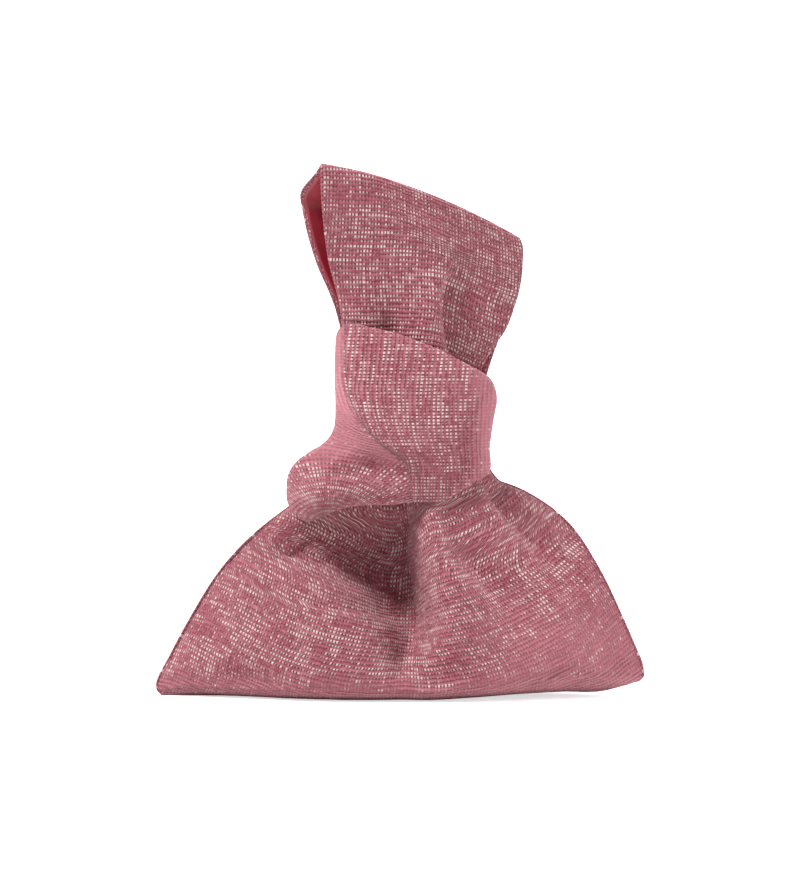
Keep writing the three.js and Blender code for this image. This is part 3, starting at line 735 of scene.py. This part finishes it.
def turned_in(points, cloth):
    """Adds the hems that turn in behind the two rims."""
    lower = [pulled_in(points[0], *step) for step in LOWER_HEM]
    upper = [pulled_in(points[-1], *step) for step in UPPER_HEM]
    grid = np.concatenate([lower, points, upper])
    start, end = len(lower), len(lower) + len(points)
    along = arc(grid, 0)
    along = along - along[[start]]
    out = np.empty(grid.shape[:2] + (2,))
    out[start:end] = cloth
    out[:start] = cloth[0]
    out[:start, :, 0] += along[:start]
    out[end:] = cloth[-1]
    out[end:, :, 0] += along[end:] - along[[end - 1]]
    return grid, out


def pulled_in(ring, inwards, rise):
    """A ring of points moved towards the neck's middle, and up."""
    out = ring - [NECK_OFFSET, 0, 0]
    reach = np.hypot(out[:, 0], out[:, 1] * HEM_SQUASH)
    share = 1 - inwards / np.maximum(reach, 1)
    return np.stack([NECK_OFFSET + out[:, 0] * share, out[:, 1] * share, ring[:, 2] + rise], -1)


# Painted sheen on the facet and the right side of the band's front
FACET_PAINTED_SHEEN = 0.8
TURN_PAINTED_SHEEN = 0.7


def band_painted_sheen(points, side):
    """Painted sheen as for the pouch: the facet and the right side of the band's front are drawn closed and
    lighter pink.
    """
    x, z = points[..., 0], points[..., 2]
    if side == BACK:
        return np.zeros_like(x)
    facet = FACET_PAINTED_SHEEN * above(crease_right(z) - x, 0, 4) * above(z, 108, 12)
    return np.clip(facet + TURN_PAINTED_SHEEN * above(x, 30, 12), 0, 1)


# Where the diagonal ridge lies at each height, and how the rows fall beside it
ridge_at = through([
    (150, 22), (169, 22), (191, 21), (202, 23), (214, 14.6), (223, 2.3), (244, -11), (262, -26),
])
row_fall = through([(150, 0.8), (180, 0.9), (200, 0.8), (214, 0.62), (228, 0.5), (250, 0.44)])
row_flattening = through([(150, 22), (190, 30), (215, 70), (250, 300)])
ROW_BEND = 5
ROW_HALVINGS = 18
LONGEST_FALL = 90
TOP_ROWS = 0.45  # the share of the handle's length up to which its rows follow the ridge


def handle_rows(points, along):
    """Rows lie level on the left of the diagonal ridge and fall beside the top fold on its right."""
    half = along <= TOP_ROWS
    x, z = points[..., 0], points[..., 2]
    low, high = z.copy(), z + LONGEST_FALL
    for _ in range(ROW_HALVINGS):
        middle = (low + high) / 2
        beyond = ROW_BEND * np.logaddexp(0, (x - ridge_at(middle)) / ROW_BEND)
        flattening = row_flattening(middle)
        fallen = middle - row_fall(middle) * flattening * (1 - np.exp(-beyond / flattening)) > z
        low, high = np.where(fallen, low, middle), np.where(fallen, middle, high)
    rows = (low + high) / 2
    walked = arc(points, 0)
    top = int(half.sum()) - 1
    return np.where(half, rows, rows[top] + walked - walked[top])


def strip(outer, inner, across, along, rows_of):
    """The two faces of a strip of cloth and the narrow faces round its edge."""
    outside, inside = outer(across, along), inner(across, along)
    u = arc(outside, 1)
    u = u - u[:, [u.shape[1] // 2]]
    cloth = np.stack([u, rows_of(outside, along)], -1)
    parts = [(outside, cloth, False, 0.0), (inside, cloth, True, 0.0)]
    for index, flip in ((0, False), (-1, True)):
        parts.append((
            np.stack([outside[:, index], inside[:, index]], 1),
            np.stack([cloth[:, index], cloth[:, index] + [CLOTH, 0]], 1), not flip, 0.0,
        ))
        parts.append((
            np.stack([outside[index], inside[index]], 0),
            np.stack([cloth[index], cloth[index] + [0, CLOTH]], 0), flip, 0.0,
        ))
    return parts


def plain_rows(points, along):
    return arc(points, 0)


HANDLE_GRID = (90, 240)
LINING_GRID = (60, 160)
LINING_ENDS = (0.03, 0.97)  # the shares of the handle's length between which the lining lies


def handle_piece():
    across = np.linspace(-1, 1, HANDLE_GRID[0])[None, :]
    along = np.linspace(0, 1, HANDLE_GRID[1])[:, None]
    parts = strip(handle_cloth, handle_inside(CLOTH), across, along, handle_rows)
    return mesh_object("handle_cloth", parts)


def lining_piece():
    under = CLOTH + LAYER_GAP
    edge = 1 - 2 * LINING_INSET / HANDLE_TOP_WIDTH
    across = np.linspace(-edge, edge, LINING_GRID[0])[None, :]
    along = np.linspace(*LINING_ENDS, LINING_GRID[1])[:, None]
    parts = strip(handle_inside(under), handle_inside(under + LINING), across, along, plain_rows)
    return mesh_object("lining_satin", parts)


# Beaded edges: the turned rows of the weave that show along an edge
BEAD_SIDES = 8
BEAD_STEPS = 4
BEAD_SWELL = 0.28
NOT_ALONG = (0.13, 1.0, 0.21)  # a direction that no edge runs in
EDGES = (("left", -1.0), ("right", 1.0))
HANDLE_BEAD = 0.75  # radius of the turned rows
SEAM_BEAD = 0.7
SEAM_TOP = 0.9  # the share of the pouch's side up to which its seams show
HANDLE_EDGE_POINTS = 300
SEAM_POINTS = 260


def beads(name, path, radius):
    """A thin cord of rounded knots along a path, for an edge where the rows of the weave turn."""
    steps = np.linalg.norm(np.diff(path, axis=0), axis=1)
    walked = np.concatenate([[0], np.cumsum(steps)])
    count = int(walked[-1] / (ROW_PITCH / BEAD_STEPS)) + 1
    at = np.linspace(0, walked[-1], count)
    centre = np.stack([np.interp(at, walked, path[:, k]) for k in range(3)], -1)
    tangent = np.gradient(centre, axis=0)
    tangent /= np.linalg.norm(tangent, axis=1, keepdims=True)
    aside = np.cross(tangent, NOT_ALONG)
    aside /= np.linalg.norm(aside, axis=1, keepdims=True)
    other = np.cross(tangent, aside)
    turn = np.linspace(0, 2 * np.pi, BEAD_SIDES + 1)
    size = radius * (1 - BEAD_SWELL + BEAD_SWELL * np.abs(np.sin(np.pi * at / ROW_PITCH)))
    ring = aside[:, None] * np.cos(turn)[None, :, None] + other[:, None] * np.sin(turn)[None, :, None]
    points = centre[:, None] + ring * size[:, None, None]
    cloth = np.stack(np.broadcast_arrays(turn[None] * radius, at[:, None]), -1)
    return mesh_object(name, [(points, cloth, True, 0.0)])


# Materials


class Shader:
    """A short way to write a material's nodes. Spaces in an input's name are written as underscores."""

    def __init__(self, name):
        self.material = bpy.data.materials.new(name)
        self.material.use_nodes = True
        self.tree = self.material.node_tree
        self.nodes, self.links = self.tree.nodes, self.tree.links
        self.surface = self.nodes["Principled BSDF"]

    def put(self, value, socket):
        if hasattr(value, "is_output"):
            self.links.new(value, socket)
        else:
            socket.default_value = value

    def math(self, operation, *values, clamp=False):
        node = self.nodes.new("ShaderNodeMath")
        node.operation = operation
        node.use_clamp = clamp
        for value, socket in zip(values, node.inputs):
            self.put(value, socket)
        return node.outputs[0]

    def point(self, x, y, z=0.0):
        node = self.nodes.new("ShaderNodeCombineXYZ")
        for value, socket in zip((x, y, z), node.inputs):
            self.put(value, socket)
        return node.outputs[0]

    def noise(self, place, detail, roughness):
        node = self.nodes.new("ShaderNodeTexNoise")
        node.inputs["Scale"].default_value = 1.0
        node.inputs["Detail"].default_value = detail
        node.inputs["Roughness"].default_value = roughness
        self.links.new(place, node.inputs["Vector"])
        return node.outputs[0]

    def add(self, *values):
        total = values[0]
        for value in values[1:]:
            total = self.math("ADD", total, value)
        return total

    def times(self, *values):
        return self.math("MULTIPLY", *values)

    def streaks(self, u, v, kind):
        """One of the cloth's noises, over the places given."""
        u_scale, v_scale, layer, detail, roughness = NOISES[kind]
        place = self.point(self.times(u, u_scale), self.times(v, v_scale), layer)
        return self.noise(place, detail, roughness)

    def random(self, value):
        node = self.nodes.new("ShaderNodeTexWhiteNoise")
        node.noise_dimensions = "1D"
        self.links.new(value, node.inputs["W"])
        return node.outputs[0]

    def span(self, value, low, high, to_low=0.0, to_high=1.0, kind="SMOOTHSTEP"):
        node = self.nodes.new("ShaderNodeMapRange")
        node.interpolation_type = kind
        for number, socket in zip((low, high, to_low, to_high), list(node.inputs)[1:5]):
            self.put(number, socket)
        self.links.new(value, node.inputs[0])
        return node.outputs[0]

    def blend(self, share, a, b):
        node = self.nodes.new("ShaderNodeMix")
        node.data_type = "RGBA"
        self.put(share, node.inputs[0])
        self.put(a, node.inputs[6])
        self.put(b, node.inputs[7])
        return node.outputs[2]

    def bump(self, height, distance, strength):
        node = self.nodes.new("ShaderNodeBump")
        node.inputs["Distance"].default_value = distance
        node.inputs["Strength"].default_value = strength
        self.links.new(height, node.inputs["Height"])
        self.links.new(node.outputs[0], self.surface.inputs["Normal"])

    def finish(self, **values):
        for name, value in values.items():
            self.surface.inputs[name.replace("_", " ")].default_value = value

    def cloth_places(self):
        uv = self.nodes.new("ShaderNodeUVMap")
        uv.uv_map = "cloth"
        parts = self.nodes.new("ShaderNodeSeparateXYZ")
        self.links.new(uv.outputs[0], parts.inputs[0])
        return parts.outputs[0], parts.outputs[1]

    # Reads the painted sheen carried on the points
    def tone(self):
        node = self.nodes.new("ShaderNodeAttribute")
        node.attribute_name = "tone"
        return node.outputs["Fac"]


def linear(*rgb):
    """A colour given as it looks on a screen, 0 to 255, as the light it stands for."""
    share = [c / 255 for c in rgb]
    return tuple(c / 12.92 if c <= 0.04045 else ((c + 0.055) / 1.055) ** 2.4 for c in share) + (1.0,)


ROW_ROSE = linear(172, 94, 106)
ROW_DEEP = linear(136, 56, 70)
ROW_PALE = linear(202, 140, 148)
GAP_RED = linear(70, 14, 26)
WARP_CREAM = linear(246, 222, 216)
WARP_SHADE = linear(200, 160, 162)
# The lighter pink of the painted sheen
PAINTED_SHEEN_PINK = linear(202, 132, 142)
SATIN_RED = linear(164, 18, 44)
SATIN_SHADE = linear(126, 8, 30)
THREAD_DARK = linear(92, 20, 40)
CLOTH_SHEEN = linear(255, 196, 206)
SATIN_SHEEN = linear(255, 170, 180)


# The cloth's noises: how fast each changes along a row and over the rows, its layer, detail and roughness
NOISES = {
    "row_sway": (0.05, 0.3, 0.0, 2.0, 0.5),
    "column_sway": (0.3, 0.06, 7.0, 1.0, 0.5),
    "slub": (0.1, 3.7, 1.0, 3.0, 0.6),
    "cover": (0.075, 5.3, 4.0, 2.0, 0.6),
    "column": (4.1, 0.065, 2.0, 2.0, 0.6),
    "patch": (0.05, 0.06, 9.0, 2.0, 0.5),
    "fuzz": (2.2, 2.8, 3.0, 2.0, 0.7),
    "strand": (0.5, 6.1, 5.0, 2.0, 0.5),
    "edge_fuzz": (2.6, 3.4, 3.0, 2.0, 0.7),
    "satin_thread": (6.0, 0.7, 0.0, 2.0, 0.5),
    "satin_ripple": (0.12, 0.05, 0.0, 2.0, 0.5),
}
ROW_SWAY = 1.6  # millimetres that the rows wander
COLUMN_SWAY = 1.0
GAP_STRIDE = 137.7  # keeps the dots of one gap apart from the next gap's
COVER_OPENS = 2.3
COLUMN_OPENS = 2.0
PATCH_OPENS = 0.8
CHANCE_OPENS = 0.35
# How far the painted sheen closes the dots
PAINTED_SHEEN_CLOSES = 0.9
OPEN_RANGE = (2.1, 3.4)
CLOTH_ROUGHNESS = 0.92
THREAD_BUMP = 0.0007


def swell(s, place):
    """The rounding of a thread over its own width."""
    return s.math("SINE", s.times(s.math("FRACT", place), math.pi))


def weave_material():
    """Thick rose rows over cream warp threads, which show as dots between the rows."""
    s = Shader("rose_weave")
    u, v = s.cloth_places()
    row_sway = s.math("SUBTRACT", s.streaks(u, v, "row_sway"), 0.5)
    column_sway = s.math("SUBTRACT", s.streaks(u, v, "column_sway"), 0.5)
    v = s.add(v, s.times(row_sway, ROW_SWAY))
    u = s.add(u, s.times(column_sway, COLUMN_SWAY))
    rows = s.math("DIVIDE", v, ROW_PITCH)
    columns = s.math("DIVIDE", u, DOT_PITCH)
    row_number = s.math("FLOOR", rows)
    gap_number = s.math("FLOOR", s.add(rows, 0.5))
    column_number = s.math("FLOOR", columns)
    row_swell, dot_swell = swell(s, rows), swell(s, columns)
    chance = s.random(s.add(column_number, s.times(gap_number, GAP_STRIDE)))

    # Slubs: each row and each column thickens and thins along its length
    slub = s.streaks(u, row_number, "slub")
    column = s.streaks(column_number, v, "column")
    patch = s.streaks(u, v, "patch")
    fuzz = s.streaks(u, v, "fuzz")

    # How much of the cream warp shows
    openness = s.add(
        s.times(s.streaks(u, gap_number, "cover"), COVER_OPENS),
        s.times(column, COLUMN_OPENS),
        s.times(patch, PATCH_OPENS),
        s.times(chance, CHANCE_OPENS),
    )
    # The painted sheen closes the dots
    openness = s.math("SUBTRACT", openness, s.times(s.tone(), PAINTED_SHEEN_CLOSES))
    openness = s.span(openness, *OPEN_RANGE)
    in_gap = s.span(s.math("SUBTRACT", row_swell, s.times(openness, 0.3)), 0.58, 0.22)
    in_dot = s.span(s.add(dot_swell, s.times(openness, 0.3)), 0.66, 1.02)
    cream = s.times(s.times(in_gap, in_dot), s.span(openness, 0.0, 0.8, 0.38, 1.0))
    lifted = s.times(s.span(column, 0.62, 0.74), s.span(patch, 0.45, 0.6, 0.0, 0.5))
    cream = s.math("MAXIMUM", cream, s.times(lifted, in_dot), clamp=True)
    warp = s.blend(s.span(s.add(chance, openness), 0.3, 1.3), WARP_SHADE, WARP_CREAM)

    # The rose rows, and the dark between them
    rose = s.blend(s.span(s.streaks(u, row_number, "strand"), 0.35, 0.65), ROW_DEEP, ROW_ROSE)
    rose = s.blend(s.span(slub, 0.45, 0.75, 0.0, 0.6), rose, ROW_PALE)
    rose = s.blend(s.span(fuzz, 0.4, 0.7, 0.0, 0.5), rose, ROW_PALE)
    # Painted shade: the rows are drawn darker where they dip between the dots
    rose = s.blend(s.span(dot_swell, 0.1, 0.6, 0.4, 0.0), rose, ROW_DEEP)
    gap = s.blend(s.span(openness, 0.1, 0.6), ROW_DEEP, GAP_RED)
    body = s.blend(s.span(row_swell, 0.2, 0.65), gap, rose)
    # Painted sheen: lighter pink where the points carry it
    body = s.blend(s.times(s.tone(), 0.75), body, PAINTED_SHEEN_PINK)
    s.links.new(s.blend(cream, body, warp), s.surface.inputs["Base Color"])

    height = s.add(
        s.times(row_swell, s.span(slub, 0.3, 0.7, 0.75, 1.1)),
        s.times(s.times(row_swell, dot_swell), 0.25),
        s.times(cream, 0.4),
        s.times(fuzz, 0.3),
    )
    s.bump(height, THREAD_BUMP, 1.0)
    s.finish(Roughness=CLOTH_ROUGHNESS, Specular_IOR_Level=0.2)
    s.finish(Sheen_Weight=0.5, Sheen_Roughness=0.45, Sheen_Tint=CLOTH_SHEEN)
    return s.material


def satin_material():
    """Smooth satin: fine threads, slow ripples and a soft gloss."""
    s = Shader("satin")
    u, v = s.cloth_places()
    thread = s.streaks(u, v, "satin_thread")
    ripple = s.streaks(u, v, "satin_ripple")
    shade = s.span(s.add(thread, ripple), 0.7, 1.3)
    s.links.new(s.blend(shade, SATIN_SHADE, SATIN_RED), s.surface.inputs["Base Color"])
    s.bump(s.add(ripple, s.times(thread, 0.12)), 0.001, 0.5)
    s.finish(Roughness=0.42, Sheen_Weight=0.3, Sheen_Tint=SATIN_SHEEN)
    return s.material


def bead_material():
    """The turned rows along an edge, with the dark seam showing between them."""
    s = Shader("edge_rows")
    u, v = s.cloth_places()
    rounding = s.math("ABSOLUTE", s.math("SINE", s.times(v, math.pi / ROW_PITCH)))
    shade = s.random(s.math("FLOOR", s.math("DIVIDE", v, ROW_PITCH)))
    fuzz = s.streaks(u, v, "edge_fuzz")
    rose = s.blend(s.span(shade, 0.1, 0.9, kind="LINEAR"), ROW_DEEP, ROW_ROSE)
    rose = s.blend(s.span(fuzz, 0.35, 0.75, 0.0, 0.6), rose, ROW_PALE)
    rose = s.blend(s.span(shade, 0.86, 0.9, 0.0, 0.6), rose, WARP_CREAM)
    s.links.new(s.blend(s.span(rounding, 0.2, 0.6), THREAD_DARK, rose), s.surface.inputs["Base Color"])
    s.bump(fuzz, 0.0003, 0.6)
    s.finish(Roughness=CLOTH_ROUGHNESS, Sheen_Weight=0.3)
    return s.material


# The stage

VIEW_HEIGHT = 119
VIEW_RIGHT = -1.4
VIEW_WIDTH = 375
PICTURE = (794, 888)
CAMERA_LENS = 150
CAMERA_REACH = 20
CAMERA_ELEVATION = math.radians(2)


def make_camera():
    camera = bpy.data.objects.new("camera", bpy.data.cameras.new("camera"))
    bpy.context.collection.objects.link(camera)
    camera.data.lens = CAMERA_LENS
    # The picture is taller than wide, and the sensor's width lies along its long side.
    view_tall = VIEW_WIDTH * PICTURE[1] / PICTURE[0]
    distance = view_tall * CAMERA_LENS / camera.data.sensor_width * MM
    back = Vector((0, -math.cos(CAMERA_ELEVATION), math.sin(CAMERA_ELEVATION)))
    camera.location = Vector((VIEW_RIGHT * MM, 0, VIEW_HEIGHT * MM)) + back * distance
    camera.rotation_mode = "QUATERNION"
    camera.rotation_quaternion = (-back).to_track_quat("-Z", "Y")
    camera.data.clip_end = CAMERA_REACH
    bpy.context.scene.camera = camera


def seen_share(tree):
    """1 for a ray that comes from the camera, a mirror or through glass, 0 for light that falls on things."""
    path = tree.nodes.new("ShaderNodeLightPath")
    share = path.outputs["Is Camera Ray"]
    for kind in ("Is Glossy Ray", "Is Transmission Ray"):
        node = tree.nodes.new("ShaderNodeMath")
        node.operation = "MAXIMUM"
        tree.links.new(share, node.inputs[0])
        tree.links.new(path.outputs[kind], node.inputs[1])
        share = node.outputs[0]
    return share


FLOOR_WHITE = (0.9, 0.9, 0.9, 1)
FLOOR_UNSEEN = (0.8, 0.8, 0.8, 1)
FLOOR_LIFT = 0.65  # how far what the camera sees of the floor is lifted, near the object
FLOOR_REACH = (0.4, 1.2)  # metres from the object over which the lift grows to full
FLOOR_FRONT = -3000
FLOOR_BEND = 1200  # where the floor starts to curve up
FLOOR_CURVE = 800
FLOOR_BACK_HEIGHT = 3500
FLOOR_HALF_WIDTH = 4000
FLOOR_DROP = 0.05
FLAT_STEPS = 8
CURVE_STEPS = 12
CURVE_START = 0.1
WORLD_LIGHT = 0.12


def make_world():
    world = bpy.data.worlds.new("studio")
    bpy.context.scene.world = world
    world.use_nodes = True
    tree = world.node_tree
    background = tree.nodes["Background"]
    background.inputs["Color"].default_value = (1, 1, 1, 1)
    strength = tree.nodes.new("ShaderNodeMapRange")
    strength.inputs["To Min"].default_value = WORLD_LIGHT
    strength.inputs["To Max"].default_value = 1.0
    tree.links.new(seen_share(tree), strength.inputs[0])
    tree.links.new(strength.outputs[0], background.inputs["Strength"])


def make_floor():
    """A floor that curves up behind the object, lifted to white for the camera, shadow apart."""
    flat = np.linspace(FLOOR_FRONT, FLOOR_BEND, FLAT_STEPS)
    turn = np.linspace(CURVE_START, np.pi / 2, CURVE_STEPS)
    depth = np.concatenate([flat, FLOOR_BEND + FLOOR_CURVE * np.sin(turn), [FLOOR_BEND + FLOOR_CURVE]])
    height = np.concatenate([np.zeros(FLAT_STEPS), FLOOR_CURVE * (1 - np.cos(turn)), [FLOOR_BACK_HEIGHT]])
    across = np.array([-FLOOR_HALF_WIDTH, FLOOR_HALF_WIDTH])
    points = stack(across[None], depth[:, None], height[:, None] - FLOOR_DROP)
    mesh = bpy.data.meshes.new("floor")
    mesh.from_pydata((points.reshape(-1, 3) * MM).tolist(), [], grid_faces(len(depth), 2).tolist())
    mesh.polygons.foreach_set("use_smooth", [True] * len(mesh.polygons))
    floor = bpy.data.objects.new("floor", mesh)
    bpy.context.collection.objects.link(floor)
    material = bpy.data.materials.new("floor")
    material.use_nodes = True
    tree = material.node_tree
    surface = tree.nodes["Principled BSDF"]
    white = tree.nodes.new("ShaderNodeMix")
    white.data_type = "RGBA"
    white.inputs[6].default_value = FLOOR_UNSEEN
    white.inputs[7].default_value = FLOOR_WHITE
    tree.links.new(seen_share(tree), white.inputs[0])
    tree.links.new(white.outputs[2], surface.inputs["Base Color"])
    surface.inputs["Roughness"].default_value = 0.9
    surface.inputs["Specular IOR Level"].default_value = 0.0
    lift = tree.nodes.new("ShaderNodeEmission")
    place = tree.nodes.new("ShaderNodeNewGeometry")
    away = tree.nodes.new("ShaderNodeVectorMath")
    away.operation = "LENGTH"
    tree.links.new(place.outputs["Position"], away.inputs[0])
    reach = tree.nodes.new("ShaderNodeMapRange")
    for name, value in zip(("From Min", "From Max", "To Min", "To Max"), FLOOR_REACH + (FLOOR_LIFT, 1.0)):
        reach.inputs[name].default_value = value
    tree.links.new(away.outputs["Value"], reach.inputs[0])
    strength = tree.nodes.new("ShaderNodeMath")
    strength.operation = "MULTIPLY"
    tree.links.new(seen_share(tree), strength.inputs[0])
    tree.links.new(reach.outputs[0], strength.inputs[1])
    tree.links.new(strength.outputs[0], lift.inputs["Strength"])
    both = tree.nodes.new("ShaderNodeAddShader")
    tree.links.new(surface.outputs[0], both.inputs[0])
    tree.links.new(lift.outputs[0], both.inputs[1])
    tree.links.new(both.outputs[0], tree.nodes["Material Output"].inputs["Surface"])
    mesh.materials.append(material)


# The lamps: each one's place and width in metres, and its power
LAMPS = {
    "key": ((-1.1, -0.8, 1.6), 0.6, 48),
    "fill": ((1.7, -0.3, 0.5), 0.9, 17),
    "top": ((0.3, 0.2, 1.9), 0.8, 8),
    "back": ((0.3, 1.5, 0.8), 0.9, 16),
}
LAMP_TARGET = (0, 0, 0.11)


def make_lights():
    for name, (place, size, power) in LAMPS.items():
        light = bpy.data.objects.new(name, bpy.data.lights.new(name, "AREA"))
        light.data.shape = "DISK"
        light.data.size = size
        light.data.energy = power
        light.location = place
        light.rotation_mode = "QUATERNION"
        aim = Vector(LAMP_TARGET) - Vector(place)
        light.rotation_quaternion = aim.to_track_quat("-Z", "Y")
        bpy.context.collection.objects.link(light)


make_camera()
make_world()
make_floor()
make_lights()
bpy.context.scene.view_settings.view_transform = "Standard"

weave = weave_material()
satin = satin_material()
edge_rows = bead_material()

pouch = pouch_piece()
settle(pouch)
band = band_piece()
handle = handle_piece()
lining = lining_piece()

edge_along = np.linspace(0.0, 1.0, HANDLE_EDGE_POINTS)
edge_pieces = []
for label, place in EDGES:
    middle = (handle_cloth(place, edge_along) + handle_inside(CLOTH)(place, edge_along)) / 2
    edge_pieces.append(beads(f"handle_edge_{label}", middle, HANDLE_BEAD))
seam_up = np.linspace(0.0, SEAM_TOP, SEAM_POINTS)
for label, place in EDGES:
    edge_pieces.append(beads(f"pouch_seam_{label}", pouch_side(FRONT)(place, seam_up), SEAM_BEAD))

for piece, material, slot in (
    (pouch, weave, "rose_cloth"),
    (band, weave, "rose_cloth"),
    (handle, weave, "rose_cloth"),
    (lining, satin, "satin_lining"),
    *((piece, edge_rows, "rose_cloth") for piece in edge_pieces),
):
    piece.data.materials.append(material)
    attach(piece, "root")

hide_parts("pouch")
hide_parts("knot_band")
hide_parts("handle_loop")
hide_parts("handle_lining")
